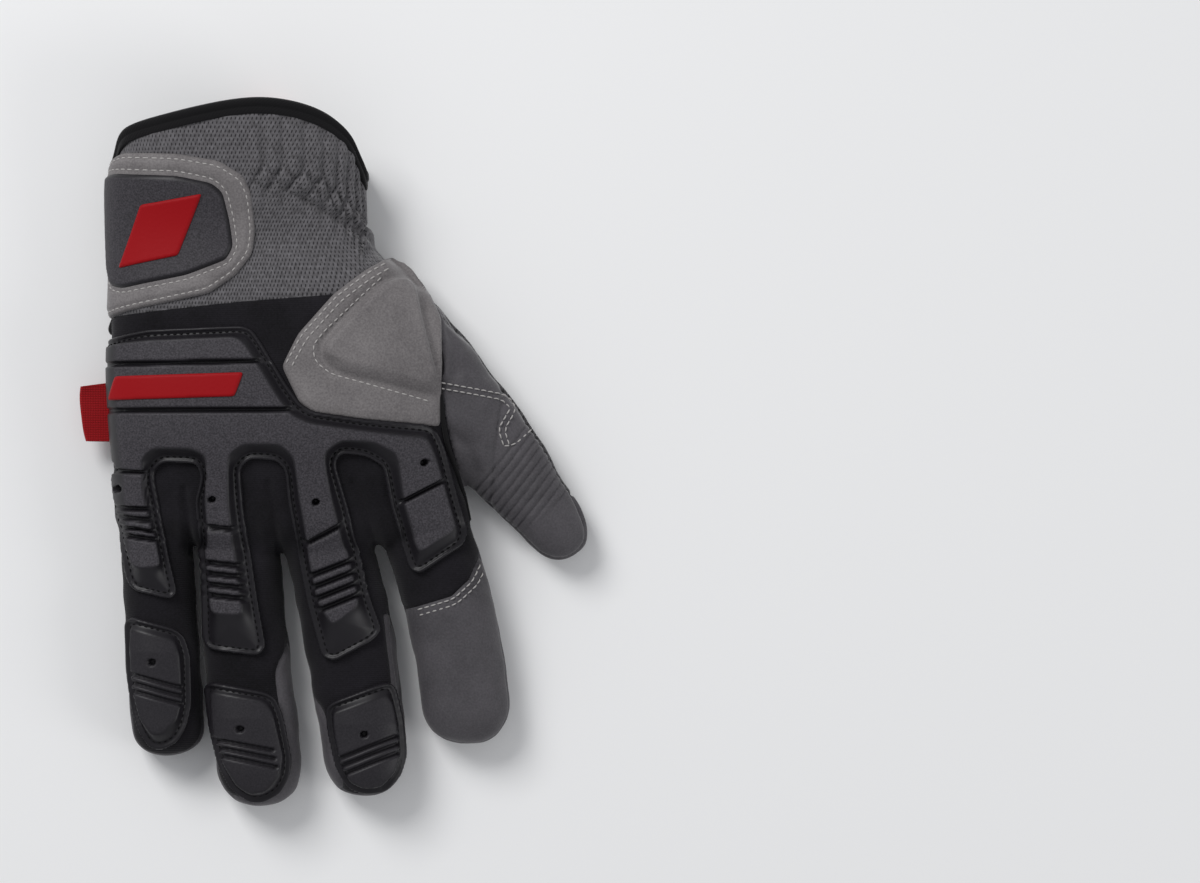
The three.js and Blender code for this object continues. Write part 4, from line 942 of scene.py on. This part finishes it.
def guard_height(uv, d):
    """Height of the guard: bead and groove at its edge, a ruled chamfer from the groove up to the face's
    outline, grooves and vents cut along lines, and round holes."""
    face = np.maximum(-outline_distance(FACE, uv), 0)
    rise = np.maximum(d - 2.6, 0)
    share = rise / np.maximum(rise + face, 1e-6)
    share = np.where(face <= 0, 1, share)
    h = bead_and_groove(d) + (FACE_HIGH - GROOVE_HIGH) * np.clip(share, 0, 1) * (d > 2.0)
    side = step(uv[:, 0], -84, -66) * 0.88 + 0.12  # the guard thins out as it turns down the hand's side
    side += (0.3 + 0.7 * step(uv[:, 0], -72.5, -64.5) - side) * step(uv[:, 1], -3, -12)
    return cut(GROOVE_HIGH + (h - GROOVE_HIGH) * side, uv, SLITS, 2.6, 2.6, 1.3, HOLES, 3.6)


tpr, tree, shader = new_material("TPR, dark gray, spark-eroded grain", {
    "Roughness": 0.52, "Specular IOR Level": 0.3, "IOR": 1.5})
place = node(tree, "ShaderNodeTexCoord").outputs["Object"]
grained = node(tree, "ShaderNodeAttribute", {"attribute_name": "grained"}).outputs["Fac"]
grit = node(tree, "ShaderNodeTexNoise", None, {"Vector": place, "Scale": 1700.0, "Detail": 2.0, "Roughness": 0.6})
dust = node(tree, "ShaderNodeTexNoise", None, {"Vector": place, "Scale": 60.0, "Detail": 4.0})
grainy = node(tree, "ShaderNodeValToRGB", {"ramp": ((0.36, "#2B292D"), (0.7, "#49464B"))}, {"Fac": grit.outputs["Fac"]})
plain = node(tree, "ShaderNodeValToRGB", {"ramp": ((0, "#171519"), (1, "#211F23"))}, {"Fac": dust.outputs["Fac"]})
both = node(tree, "ShaderNodeMix", {"data_type": "RGBA"}, {
    "Factor": grained, "A": plain.outputs["Color"], "B": grainy.outputs["Color"]})
rough = node(tree, "ShaderNodeMapRange", None, {"Value": grained, "To Min": 0.42, "To Max": 0.62})
strength = node(tree, "ShaderNodeMath", {"operation": "MULTIPLY"}, {0: grit.outputs["Fac"], 1: grained})
bump = node(tree, "ShaderNodeBump", None, {"Height": strength.outputs[0], "Strength": 0.5, "Distance": 0.0002})
feed(shader, {"Base Color": both.outputs["Result"], "Roughness": rough.outputs[0], "Normal": bump.outputs["Normal"]})
laid_on("knuckle_guard", GUARD, guard_height, tpr, "guard_rubber", ["knuckle_guard"], grain=lambda uv, d: (
    step(outline_distance(FACE, uv), -0.1, 0.6) * step(guard_height(uv, d), 3.6, 4.2)))

red_rubber, tree, shader = new_material("TPR, red, matt moulded", {
    "Base Color": linear("#94030D"), "Roughness": 0.6, "Specular IOR Level": 0.18, "IOR": 1.5})
grit = node(tree, "ShaderNodeTexNoise", None, {
    "Vector": node(tree, "ShaderNodeTexCoord").outputs["Object"], "Scale": 900.0, "Detail": 2.0})
bump = node(tree, "ShaderNodeBump", None, {"Height": grit.outputs["Fac"], "Strength": 0.25, "Distance": 0.0002})
feed(shader, {"Normal": bump.outputs["Normal"]})
STRIPE = rounded([(-70, 26.6), (-28.4, 27.8), (-31.4, 19.8), (-73, 18.6)], 0.7, 0.4)
laid_on("guard_stripe", STRIPE, lambda uv, d: FACE_HIGH + 0.75 * np.sqrt(step(d, -0.2, 0.6)), red_rubber,
        "red_rubber", ["guard_stripe"], sink=-4.0)

# ---------------------------------------------------------------- Fingertip guards
# Three more TPR mouldings, one on each of three fingertips, sewn through a groove like the knuckle guard.
# Each has a smooth domed face with a vent hole and three slits.
TIPS = {
    "pinky": dict(
        edge=[(-70.7, -56.8), (-68.7, -55.3), (-53.2, -59.2), (-50.3, -61.6), (-48.4, -68.4), (-47.9, -85.8),
              (-49.4, -93.6), (-52.3, -98.4), (-57.1, -100.8), (-62, -100.4), (-65.8, -95.5), (-68.3, -87.8),
              (-70.2, -74.2)],
        face=[(-67.8, -59.5), (-54, -63.4), (-52.5, -68.7), (-51.6, -84.1), (-53.1, -90.8), (-57.1, -95.2),
              (-60.9, -95.2), (-64.2, -90.6), (-66.5, -80.7)],
        hole=(-60.7, -70.8), slits=[((-67.6, -74.7), (-52, -79.5)), ((-67.6, -77.6), (-52, -82.4)),
                                    ((-67, -80.5), (-51.6, -85.2))]),
    "ring": dict(
        edge=[(-42.6, -79), (-40.7, -77.6), (-22.2, -81), (-18.8, -82.9), (-16.4, -89.7), (-13.7, -104.2),
              (-14.2, -110), (-17.4, -115.9), (-23.3, -119), (-28, -118.8), (-33.9, -114.6), (-37.8, -107.2),
              (-40.9, -93.6)],
        face=[(-39.8, -81.2), (-23.3, -84.2), (-20.6, -87.8), (-17.2, -103.3), (-18.4, -109.1), (-22.2, -114.2),
              (-27.1, -115), (-31, -112.6), (-34.9, -106), (-38.1, -94.5)],
        hole=(-30.3, -93.6), slits=[((-38.6, -97), (-20.4, -101)), ((-37.2, -99.9), (-19.8, -103.9)),
                                    ((-35.8, -102.8), (-19.2, -106.8))]),
    "middle": dict(
        edge=[(-1.4, -86.8), (0, -84.8), (17.4, -78.1), (20.4, -77.6), (21.9, -80), (24.3, -91.7), (25.2, -103.3),
              (23.3, -110), (18.5, -115.2), (11.6, -116), (5.8, -114), (2, -107.2), (-0.4, -95.5)],
        face=[(2, -88.2), (18.2, -82.2), (20.2, -85.4), (21.9, -103.3), (20.4, -108.1), (16.5, -112.3),
              (11.6, -113), (7.3, -111), (4.4, -105.2), (2.7, -95.5)],
        hole=(11.6, -95.5), slits=[((4.6, -103.5), (21.8, -96)), ((5, -106), (22, -98.9)),
                                   ((6, -108.4), (22, -101.8))]),
}
for name, tip in TIPS.items():
    tip_face = rounded(tip["face"], 0.9, 0.4)
    ramp_y = tip["hole"][1] + 5.5

    def tip_height(uv, d):
        """Height of a fingertip guard: bead, groove, a short chamfer, a face that falls away towards the
        hand above its hole, three slits and the hole."""
        face = np.maximum(-outline_distance(tip_face, uv), 0)
        rise = np.maximum(d - 2.2, 0)
        share = np.where(face <= 0, 1, rise / np.maximum(rise + face, 1e-6))
        top = 3.5 - 1.3 * np.clip((uv[:, 1] - ramp_y + 2) / 10, 0, 1)
        h = bead_and_groove(d) + (top - GROOVE_HIGH) * share * (d > 1.8)
        return cut(h, uv, [(a, b, 0.7) for a, b in tip["slits"]], 1.7, 2.4, 1.2, [tip["hole"]], 2.8)

    tip["edge"] = rounded(tip["edge"], 1.6, 0.5)
    tip["place"] = on_pinky_tip if name == "pinky" else on_back
    laid_on(name + "_tip_guard", tip["edge"], tip_height, tpr, "guard_rubber", [name + "_tip_guard"], pitch=0.45,
            place=tip["place"], grain=lambda uv, d: 0.25 * step(outline_distance(tip_face, uv), 0, 0.8))

# ---------------------------------------------------------------- Wrist tab
# A tab of warm gray synthetic leather, sewn down round the little finger's side of the cuff with two rows
# of stitches. A rubber patch with a bevelled edge is welded on it, with a plain red block raised on that.
gray_skin = leather("synthetic leather, warm gray", "#5D595A", "#7F7B7B", 0.6, 1.2)
TAB = rounded([(-92, 97), (-77.3, 100.5), (-68.1, 102.6), (-51, 101.9), (-36.9, 99.5), (-28.7, 94.4), (-26, 88),
               (-25, 75.6), (-26, 68.1), (-31.5, 60.9), (-40.7, 54.7), (-58.1, 51), (-76.6, 47.2),
               (-92, 45.4)], 1.2, 0.6)
TAB_PATCH = rounded([
    (-80.5, 92), (-79, 95.2), (-70.1, 95.9), (-51, 95.1), (-39.3, 92.7), (-35.6, 89.6), (-33.4, 80), (-32.1, 70.5),
    (-34.5, 65.7), (-47.9, 60.5), (-70.1, 56.1), (-76.4, 57.4), (-80, 64), (-82.4, 76)], 1.2, 0.6)
EMBLEM = rounded([(-62.4, 85.4), (-42.6, 89.2), (-50.6, 67.4), (-71, 63.2)], 0.6, 0.4)


def tab_height(uv, d):
    """Height of the tab: rounded cut edge, sunk a little along its two stitch rows, padded between them."""
    rows = np.exp(-((d - 1.5) / 0.6) ** 2) + np.exp(-((outline_distance(TAB_PATCH, uv) + 1.3) / 0.6) ** 2)
    return 1.7 * np.sqrt(step(d, -0.3, 1.1)) + 0.4 * step(d, 1.4, 3.2) - 0.35 * rows


laid_on("wrist_tab", TAB, tab_height, gray_skin, "gray_leather", ["wrist_tab"], pitch=0.6)
laid_on("tab_patch", TAB_PATCH, lambda uv, d: 1.7 + 1.5 * step(d, -0.4, 1.5), tpr, "guard_rubber", ["tab_patch"],
        pitch=0.6, sink=-1.2, grain=lambda uv, d: 0.85 * step(d, 1.0, 1.7))
laid_on("tab_emblem", EMBLEM, lambda uv, d: 3.2 + 0.7 * np.sqrt(step(d, -0.2, 0.6)), red_rubber, "red_rubber",
        ["tab_emblem"], sink=-2.8)

# ---------------------------------------------------------------- Thumb saddle
# Warm gray synthetic leather over the root of the thumb, double-stitched along its upper edge, with a
# block of foam laminated under it that stands up as a soft three-cornered pad.
SADDLE = rounded([(-15.7, 29.8), (-10.3, 40.7), (1.7, 54.4), (12, 62.4), (20.5, 67.6), (27, 62.5), (33, 54.4),
                  (37.4, 46), (38.3, 30), (37.6, 9.4), (11.5, 11.9), (-4.8, 14.2), (-9.8, 17.6)], 1.2, 0.6)
PAD = rounded([(20.9, 59.4), (25, 59), (28.2, 55.4), (37.2, 24), (34.9, 20.6), (2.7, 28.6), (-2.2, 33.5), (-1.4, 37.6),
               (15, 55.6)], 2.4, 0.6)
PAD_FOOT = [(2.7, 29.1), (34.9, 21.2)]  # the pad's lower edge, where its slope is longer
FOLD_LINE = [(24.4, 64), (31, 58), (36.4, 47), (38.4, 40), (37.6, 22)]


def saddle_height(uv, d):
    """Height of the saddle: thin leather, a sewn channel round the pad, and the pad's soft shoulder and crown."""
    pad = outline_distance(PAD, uv)
    wide = 1.9 + 2.6 * step(line_distance(PAD_FOOT, uv, False), 7, 2)
    crown = 3.1 * np.sqrt(step(pad, -0.3, wide)) + 0.35 * step(pad, 4, 12)
    channel = -0.5 * np.exp(-((pad + 1.5) / 1.1) ** 2)
    crown += 0.8 * np.exp(-((line_distance(FOLD_LINE, uv, False) - 0.6) / 1.3) ** 2)
    uneven = 0.12 * cloth_noise(np.column_stack([uv, np.zeros(len(uv))]), 9, 21) * step(d, 1, 4)
    return 1.1 * np.sqrt(step(d, -0.3, 0.9)) + 0.35 * step(d, 1, 3) + crown + channel + uneven


saddle = laid_on("thumb_saddle", SADDLE, saddle_height, gray_skin, "gray_leather", ["thumb_saddle", "saddle_pad"],
                 pitch=0.6)

# ---------------------------------------------------------------- Palm pads
# Black synthetic suede, a brushed microfibre with pale specks, sewn on the palm leather with two rows of
# pale thread. One pad is under the knuckles, and the other has two lobes under the heel of the hand.


def turned(points):
    """Palm pattern points brought from the palm's own picture into the glove's: x - 0.19 (y + 5)."""
    points = np.array(points, float)
    return np.stack([points[:, 0] - 0.19 * (points[:, 1] + 5), points[:, 1]], -1)


def on_palm(uv, lift=0.0):
    """Points of the palm over a flat pattern, by rays that go straight down at x = u, lifted out of it."""
    p = met(np.column_stack([uv, np.full(len(uv), 18.0)]), np.array([0, 0, -1.0]), 0.0, 24.0)
    p = p + outward(p) * np.reshape(lift, (-1, 1))
    return np.column_stack([p[:, :2], np.maximum(p[:, 2], 0.12)])


KNUCKLE_PAD = rounded(turned([
    (-71, -22.5), (-63.9, -26.6), (-59, -24.2), (-54.1, -16.7), (-47.5, -13), (-40.9, -16.7), (-40.9, -32.4),
    (-35.9, -35.3), (-31, -31.5), (-24.4, -24.2), (-17.9, -21.3), (-12.1, -24.2), (-10.4, -34.1), (-4.7, -36.9),
    (0.3, -34.9), (7.7, -25.8), (12.6, -23.7), (20, -27.5), (23.3, -37.3), (30.7, -45.1), (36.5, -43.1),
    (39.8, -36.5), (40.6, -20), (41.8, -6.9), (39.8, -5.2), (20, -2.7), (-4.7, 1.8), (-29.4, 3.4), (-45.8, 5.5),
    (-60.7, 10.4), (-64.8, 7.9), (-68.1, -3.5), (-70.5, -15.9)]), 1.4, 0.8)
HEEL_PAD = rounded(turned([
    (-60.9, 28.1), (-59, 45.6), (-57.5, 59.2), (-51.4, 70.7), (-43.8, 82.1), (-38.5, 89.7), (-30.8, 93),
    (-20.2, 93), (-14.1, 90.4), (-12.6, 83.6), (-15.7, 68.4), (-20.2, 56.3), (-21.7, 45.6), (-19.5, 39.5),
    (-14.9, 36.4),
    (-9.6, 38), (-6.6, 42.6), (-4.3, 53.2), (1.1, 68.4), (5.6, 82.1), (8.7, 84), (22.3, 79), (25.4, 76),
    (30.7, 60.8), (36.7, 45.6), (38.3, 36.4), (34.5, 23.5), (25.4, 11.4), (18.4, 2.6), (17.5, -1.6), (8, 0.2),
    (-10, 2.8), (-28.6, 4.2), (-31, 6.2), (-29.8, 8.6), (-34, 11.6), (-47.1, 16.1), (-55.3, 20.2)]), 1.4, 0.8)
suede, tree, shader = new_material("synthetic suede, black, with pale specks", {
    "Roughness": 0.95, "Specular IOR Level": 0.15, "IOR": 1.5, "Sheen Weight": 0.35, "Sheen Roughness": 0.6})
place = node(tree, "ShaderNodeTexCoord").outputs["Object"]
nap = node(tree, "ShaderNodeTexNoise", None, {"Vector": place, "Scale": 1100.0, "Detail": 3.0})
flecks = node(tree, "ShaderNodeTexNoise", None, {"Vector": place, "Scale": 1300.0, "Detail": 2.0})
brushed = node(tree, "ShaderNodeTexNoise", None, {"Vector": place, "Scale": 40.0, "Detail": 4.0})
tone = node(tree, "ShaderNodeValToRGB", {"ramp": ((0.54, "#222023"), (0.82, "#48454A"))}, {
    "Fac": flecks.outputs["Fac"]})
worn = node(tree, "ShaderNodeMix", {"data_type": "RGBA", "blend_type": "MULTIPLY"}, {
    "Factor": 0.25, "A": tone.outputs["Color"], "B": brushed.outputs["Color"]})
bump = node(tree, "ShaderNodeBump", None, {"Height": nap.outputs["Fac"], "Strength": 0.5, "Distance": 0.0003})
feed(shader, {"Base Color": worn.outputs["Result"], "Normal": bump.outputs["Normal"]})

VENTS = list(zip(turned([(-44.5, 73.3), (-40, 72.5), (-34.9, 71.4), (-29.4, 70.1), (-24.4, 68.8),
                         (3.3, 60.4), (9, 58.4), (15.7, 56), (21.6, 54), (27, 52.1)]),
                 (0.55, 0.8, 1.1, 0.95, 0.7, 0.5, 1.0, 1.25, 1.0, 0.45)))  # middles and radii
WAVE = turned([(-58.9, 28.8), (-56, 23.5), (-50.6, 19.9), (-46, 19.5), (-38.4, 20.2), (-30.8, 22.2), (-23.2, 23.2),
               (-15.6, 20.5), (-7.9, 15.9), (-0.3, 10.6), (4, 8.6), (10.3, 8.6), (16.9, 11.9), (24.5, 15.6),
               (29.8, 22.2), (35.1, 31.1)])


def pad_height(uv, d):
    """Height of a suede pad: a rounded edge, channels at its stitch rows, and holes at the vents."""
    h = 1.25 * np.sqrt(step(d, -0.2, 0.8)) + 0.45 * step(d, 2.0, 5.0)
    h -= 0.25 * (np.exp(-((d - 1.6) / 0.5) ** 2) + np.exp(-((d - 3.9) / 0.5) ** 2))
    h -= 0.3 * np.exp(-(line_distance(WAVE, uv, False) / 0.6) ** 2)
    for middle, radius in VENTS:
        h -= 0.9 * (1 - step(np.hypot(*(uv - middle).T), radius - 0.2, radius + 0.5))
    return h


for name, outline in (("knuckle_pad", KNUCKLE_PAD), ("heel_pad", HEEL_PAD)):
    pad = laid_on(name, outline, pad_height, suede, "palm_suede", [name], pitch=0.6, place=on_palm)
# A layer of red foam shows at the bottom of the heel pad's ten vents.
for number, (middle, radius) in enumerate(VENTS, 1):
    ring = np.linspace(0, 2 * np.pi, 24, endpoint=False)
    spot = middle + (radius + 0.2) * np.stack([np.cos(ring), np.sin(ring)], -1)
    laid_on(f"heel_vent_{number}", spot, lambda uv, d: 1.0 + 0.25 * step(d, 0, 0.6), red_rubber, "red_rubber", [],
            pitch=0.3, place=on_palm)

# ---------------------------------------------------------------- Pull loop and side tag
# The loop is 17 mm red polyester webbing, sewn to the palm leather, led out round the cuff's edge and back
# inside. The tag is a folded ribbon of the same red, plain, caught in the side seam.
webbing, tree, shader = new_material("polyester webbing, red, plain weave", {
    "Roughness": 0.8, "Specular IOR Level": 0.2, "IOR": 1.5, "Sheen Weight": 0.1, "Sheen Roughness": 0.5})
flat_place = node(tree, "ShaderNodeUVMap", {"uv_map": "pattern"}).outputs[0]
ribs, warps = (node(tree, "ShaderNodeTexWave", {"wave_type": "BANDS", "bands_direction": way}, {
    "Vector": flat_place, "Scale": 3.1416 / apart / 6.2832, "Distortion": 0.8, "Detail": 1.0})
    for way, apart in (("Y", 1.3e-3), ("X", 0.9e-3)))
woven = node(tree, "ShaderNodeMath", {"operation": "MULTIPLY"}, {0: ribs.outputs["Fac"], 1: warps.outputs["Fac"]})
tone = node(tree, "ShaderNodeValToRGB", {"ramp": ((0, "#84060D"), (0.5, "#A80A13"))}, {"Fac": woven.outputs[0]})
bump = node(tree, "ShaderNodeBump", None, {"Height": woven.outputs[0], "Strength": 0.7, "Distance": 0.0004})
feed(shader, {"Base Color": tone.outputs["Color"], "Normal": bump.outputs["Normal"]})


def softened(line, times):
    """An open line whose points are averaged with their neighbours, with its ends kept."""
    for _ in range(times):
        line[1:-1] = (line[:-2] + 2 * line[1:-1] + line[2:]) / 4
    return line


def ribbon(name, path, width, thick):
    """A strip of webbing along a path in the plane of y and z: a rounded flat section carried along it.
    path is rows of (middle x, y, z); the section's long side lies along x."""
    path = np.array(path, float)
    at = np.arange(0, lengths(path)[-1], 0.5)
    line = softened(at_lengths(path, at), 6)
    out = unit(np.cross(unit(np.gradient(line, axis=0)), [1.0, 0, 0]))
    turn = np.linspace(0, 2 * np.pi, 48, endpoint=False)
    a = width / 2 * np.sign(np.cos(turn)) * np.abs(np.cos(turn)) ** 0.35
    b = thick / 2 * np.sign(np.sin(turn)) * np.abs(np.sin(turn)) ** 0.5
    points = line[:, None] + a[None, :, None] * np.array([1.0, 0, 0]) + b[None, :, None] * out[:, None]
    uv = np.stack(np.broadcast_arrays(a[None], at[:, None]), -1).reshape(-1, 2)
    sides = grid_faces(len(line), len(turn), False, True).tolist()
    ends = np.arange(points.shape[0] * len(turn)).reshape(-1, len(turn))
    faces = sides + [ends[0, ::-1].tolist(), ends[-1].tolist()]
    made = new_object(name, points.reshape(-1, 3), faces, webbing, np.arange(len(faces)) < len(sides), uv)
    turned_out(made)
    declared(made, "red_webbing", name)


ribbon("pull_loop", [
    (-22.5, 92.6, 0.95), (-22.5, 108, 0.95), (-22.5, 115, 0.95), (-22.5, 118.2, 1.2), (-22.5, 118.9, 2.4),
    (-22.5, 118.9, 5.4), (-22.5, 118.2, 6.5), (-22.5, 115, 7.0), (-22.5, 108, 7.1)], 17.4, 1.1)

across = np.linspace(0, 1, 60)[:, None]  # from the tag's lower edge to its upper edge
fold = np.linspace(0, 1, 70)[None]  # out from the seam, round the fold and back
reach = np.where(fold < 0.5, fold / 0.46, (1 - fold) / 0.46).clip(0, 1)
turn = np.pi * np.clip((fold - 0.46) / 0.08, 0, 1)
curl = (2 * across - 1) ** 4
x = -74.2 + reach * (-10.2 - 1.9 * across + 0.8 * curl) - 0.5 * np.sin(turn)
y = 4.2 + 20.6 * across + reach * (0.2 - 1.6 * across) + 0.6 * reach * np.sin(6 * across)
z = 9.7 + np.cos(turn) * (0.6 + 1.1 * curl * reach) + 0.5 * reach * np.sin(4 * across)
tag_points = np.stack([x, y, z], -1).reshape(-1, 3)
tag = new_object("side_tag", tag_points, grid_faces(60, 70), webbing, uv=tag_points[:, :2])
thick = tag.modifiers.new("ribbon", "SOLIDIFY")
thick.thickness, thick.offset = 0.35 * MM, 0
declared(tag, "red_webbing", "side_tag")

# ---------------------------------------------------------------- Piping
# Black piping is sewn into the side seam of the cuff, where it ends in a folded bulge below the tab, and
# another length runs down beside the saddle and the guard.


def piping(name, line, radii, lift):
    """A round cord laid on the back along a flat line, with a radius at each corner and rounded ends."""
    line = np.array(line, float)
    length = lengths(line)
    at = np.linspace(0, length[-1], int(length[-1] / 0.6))
    path = softened(on_back(at_lengths(line, at), lift), 8)
    thick = np.interp(at, length, radii)
    to_end = np.minimum(at, length[-1] - at)
    thick *= np.sqrt(np.clip(1 - (1 - np.clip(to_end / thick, 0, 1)) ** 2, 0.01, 1))
    way = unit(np.gradient(path, axis=0))
    side = unit(np.cross(way, outward(path)))
    out = np.cross(side, way)
    n, m = len(path), 14
    turn = np.linspace(0, 2 * np.pi, m, endpoint=False)
    ring = side[:, None] * np.cos(turn)[:, None] + out[:, None] * np.sin(turn)[:, None]
    points = np.concatenate([(path[:, None] + ring * thick[:, None, None]).reshape(-1, 3), path[:1], path[-1:]])
    j = np.arange(m)
    caps = np.concatenate([np.stack([j, (j + 1) % m, 0 * j + n * m], -1),
                           np.stack([(n - 1) * m + (j + 1) % m, (n - 1) * m + j, 0 * j + n * m + 1], -1)])
    sides = grid_faces(n, m, False, True)
    sides = np.concatenate([sides[:, [0, 1, 2]], sides[:, [0, 2, 3]]])
    made = new_object(name, points, np.concatenate([sides, caps]), black_tape)
    turned_out(made)
    declared(made, "binding")


piping("side_piping", [(-93, 97.5), (-93, 60), (-92.4, 49), (-90, 46), (-88, 43), (-87.4, 40.5)],
       [1.0, 1.0, 1.1, 2.0, 2.3, 1.9], 0.3)
piping("saddle_piping", [(37.2, 27), (38.3, 18), (38.7, 11.5), (40.2, 3), (43.2, -6), (45.8, -15), (47.6, -23)],
       [0.6, 0.75, 0.8, 0.8, 0.8, 0.7, 0.5], 0.2)

# ---------------------------------------------------------------- Stitches
# Lockstitch in polyester thread, 2.4 mm a stitch: pale gray on the leather and suede, black on the rubber.
# Each stitch is a short thread that dips into the cloth at both ends.


def stepped(line, spacing):
    """Points at an even spacing along a line."""
    line = np.array(line, float)
    whole = lengths(line)[-1]
    return at_lengths(line, np.linspace(0, whole, max(int(whole / spacing), 2) + 1))


def beside(line, offset, closed=False):
    """A line moved to its left by an offset, dropping the points that come too near the line at tight bends."""
    line = np.array(line, float)
    way = np.roll(line, -1, axis=0) - np.roll(line, 1, axis=0) if closed else np.gradient(line, axis=0)
    way /= np.hypot(*way.T)[:, None]
    moved = line + offset * np.stack([-way[:, 1], way[:, 0]], -1)
    ring = np.concatenate([line, line[:1]]) if closed else line
    return moved[line_distance(ring, moved, False) > abs(offset) * 0.96] if offset else line


def stitches(lines, place, lift, stitch=2.4, radius=0.27, reach=0.4):
    """Points and faces of the stitches along lines: each is a tube of seven rings over its gap, arched as
    a half sine and lifted out of the cloth by lift(uv). Those further than reach off the hand are left out."""
    marks = [stepped(line, stitch) for line in lines]
    a, b = np.concatenate([m[:-1] for m in marks]), np.concatenate([m[1:] for m in marks])
    share = np.linspace(0.1, 0.9, 7)
    flat = a[:, None] + (b - a)[:, None] * share[None, :, None]
    arch = np.sin((share - 0.1) / 0.8 * np.pi)
    base = place(flat.reshape(-1, 2), 0.0).reshape(*flat.shape[:2], 3)
    normal = outward(base.reshape(-1, 3)).reshape(base.shape)
    out = lift(flat.reshape(-1, 2)).reshape(flat.shape[:2]) if callable(lift) else np.full(flat.shape[:2], lift)
    middle = base + normal * (out + radius * (1.5 * arch - 0.9))[..., None]
    way = unit(middle[:, -1] - middle[:, 0])
    side = unit(np.cross(way[:, None], normal))
    turn = np.linspace(0, 2 * np.pi, 6, endpoint=False)
    thick = radius * np.array([0.35, 0.85, 1, 1, 1, 0.85, 0.35])
    ring = side[:, :, None] * np.cos(turn)[:, None] + normal[:, :, None] * np.sin(turn)[:, None]
    points = middle[:, :, None] + ring * thick[None, :, None, None]
    points[..., 2] = np.maximum(points[..., 2], 0.0)
    on_cloth = (np.abs(hand_distance(base.reshape(-1, 3))).reshape(base.shape[:2]) < reach).all(1)
    length = np.linalg.norm(base[:, -1] - base[:, 0], axis=1)
    points = points[on_cloth & (length < 1.8 * stitch)]
    ends = [[0, 1, 2, 3], [0, 3, 4, 5], [39, 38, 37, 36], [41, 40, 39, 36]]
    one = np.concatenate([grid_faces(7, 6, False, True), ends])
    faces = (one[None] + 42 * np.arange(len(points))[:, None, None]).reshape(-1, 4)
    return points.reshape(-1, 3), faces


def thread(name, colour):
    """Twisted polyester thread of one colour, with a little sheen."""
    made, tree, shader = new_material(name, {
        "Base Color": linear(colour), "Roughness": 0.8, "Specular IOR Level": 0.12, "IOR": 1.5, "Sheen Weight": 0.03})
    twist = node(tree, "ShaderNodeTexNoise", None, {
        "Vector": node(tree, "ShaderNodeTexCoord").outputs["Object"], "Scale": 2500.0})
    bump = node(tree, "ShaderNodeBump", None, {"Height": twist.outputs["Fac"], "Strength": 0.4, "Distance": 0.0001})
    feed(shader, {"Normal": bump.outputs["Normal"]})
    return made


def sew(name, colour, slot, *parts):
    """One object for all the stitches of a piece."""
    points, faces = joined(*parts)
    declared(new_object(name, points, faces, thread("polyester thread, " + name, colour)), slot)


PALE, BLACK = "#A9A6A4", "#0E0D0F"


def border_row(outline, inset):
    """A closed row of stitches set in from an outline's edge, whichever way round the outline runs."""
    inward = 1 if outline_distance(outline, beside(outline, 0.4, True)[:1])[0] > 0 else -1
    row = beside(outline, inset * inward, True)
    return np.concatenate([row, row[:1]])


sew("guard_stitches", BLACK, "guard_rubber", stitches([border_row(GUARD, 2.15)], on_back, 0.92, 2.2, 0.25),
    *[stitches([border_row(tip["edge"], 2.15)], tip["place"], 0.92, 2.1, 0.25) for tip in TIPS.values()])
tab_rows = [border_row(TAB, 1.5), border_row(TAB_PATCH, -1.3)]
sew("tab_stitches", PALE, "gray_leather", stitches(
    tab_rows, on_back, lambda uv: tab_height(uv, outline_distance(TAB, uv)), 2.4, 0.25))
upper_edge = [(-14.4, 30.6), (-9.2, 40.2), (2.6, 53.4), (12.6, 61.2), (20.6, 66)]
channel = [(17.5, 60), (-1.6, 41.5), (-5.3, 36.6), (-4.4, 31.4), (1, 27.2), (12, 24.2), (33.6, 18)]
sew("saddle_stitches", PALE, "gray_leather", stitches(
    [upper_edge, beside(np.array(upper_edge, float), -2.2), channel], on_back,
    lambda uv: saddle_height(uv, outline_distance(SADDLE, uv)), 2.4, 0.27))
wrap_rows = [beside(stepped(WRAP_LINE[1:5], 1.5), offset) for offset in (-1.0, -3.0)]
thumb_w = [(37.3, 22.6), (50.3, 20.2), (58.8, 18.5), (61.6, 15.7), (57.5, 8.6), (59.5, 2.4), (63.3, 3.4), (69, 8.6)]
sew("leather_stitches", PALE, "palm_leather", stitches(
    [*wrap_rows, stepped(thumb_w, 1.0), beside(stepped(thumb_w[:6], 1.0), 1.9)], on_back, 0.15, 2.3, 0.25))
pad_rows = [border_row(KNUCKLE_PAD, 1.6), border_row(HEEL_PAD, 1.6)]
for outline, keep in ((KNUCKLE_PAD, lambda q: q[:, 1] < -6), (HEEL_PAD, lambda q: q[:, 1] > 22)):
    row = border_row(outline, 3.9)
    kept = np.flatnonzero(keep(row))
    pad_rows += np.split(row[kept], np.flatnonzero(np.diff(kept) > 1) + 1)
sew("palm_stitches", PALE, "palm_suede", stitches(pad_rows, on_palm, 1.35, 2.4, 0.27), stitches(
    [stepped(WAVE, 1.5)], on_palm, 1.65, 2.4, 0.27))
sew("loop_stitches", "#7A0A0E", "red_webbing", stitches(
    [[(-29.6, 94.4), (-15.4, 94.4)], [(-29.6, 104), (-15.4, 104)], [(-29.6, 94.4), (-15.4, 104)]],
    lambda uv, lift=0.0: np.column_stack([uv, np.full(len(uv), 0.95)]), 0.45, 2.2, 0.2, 9))
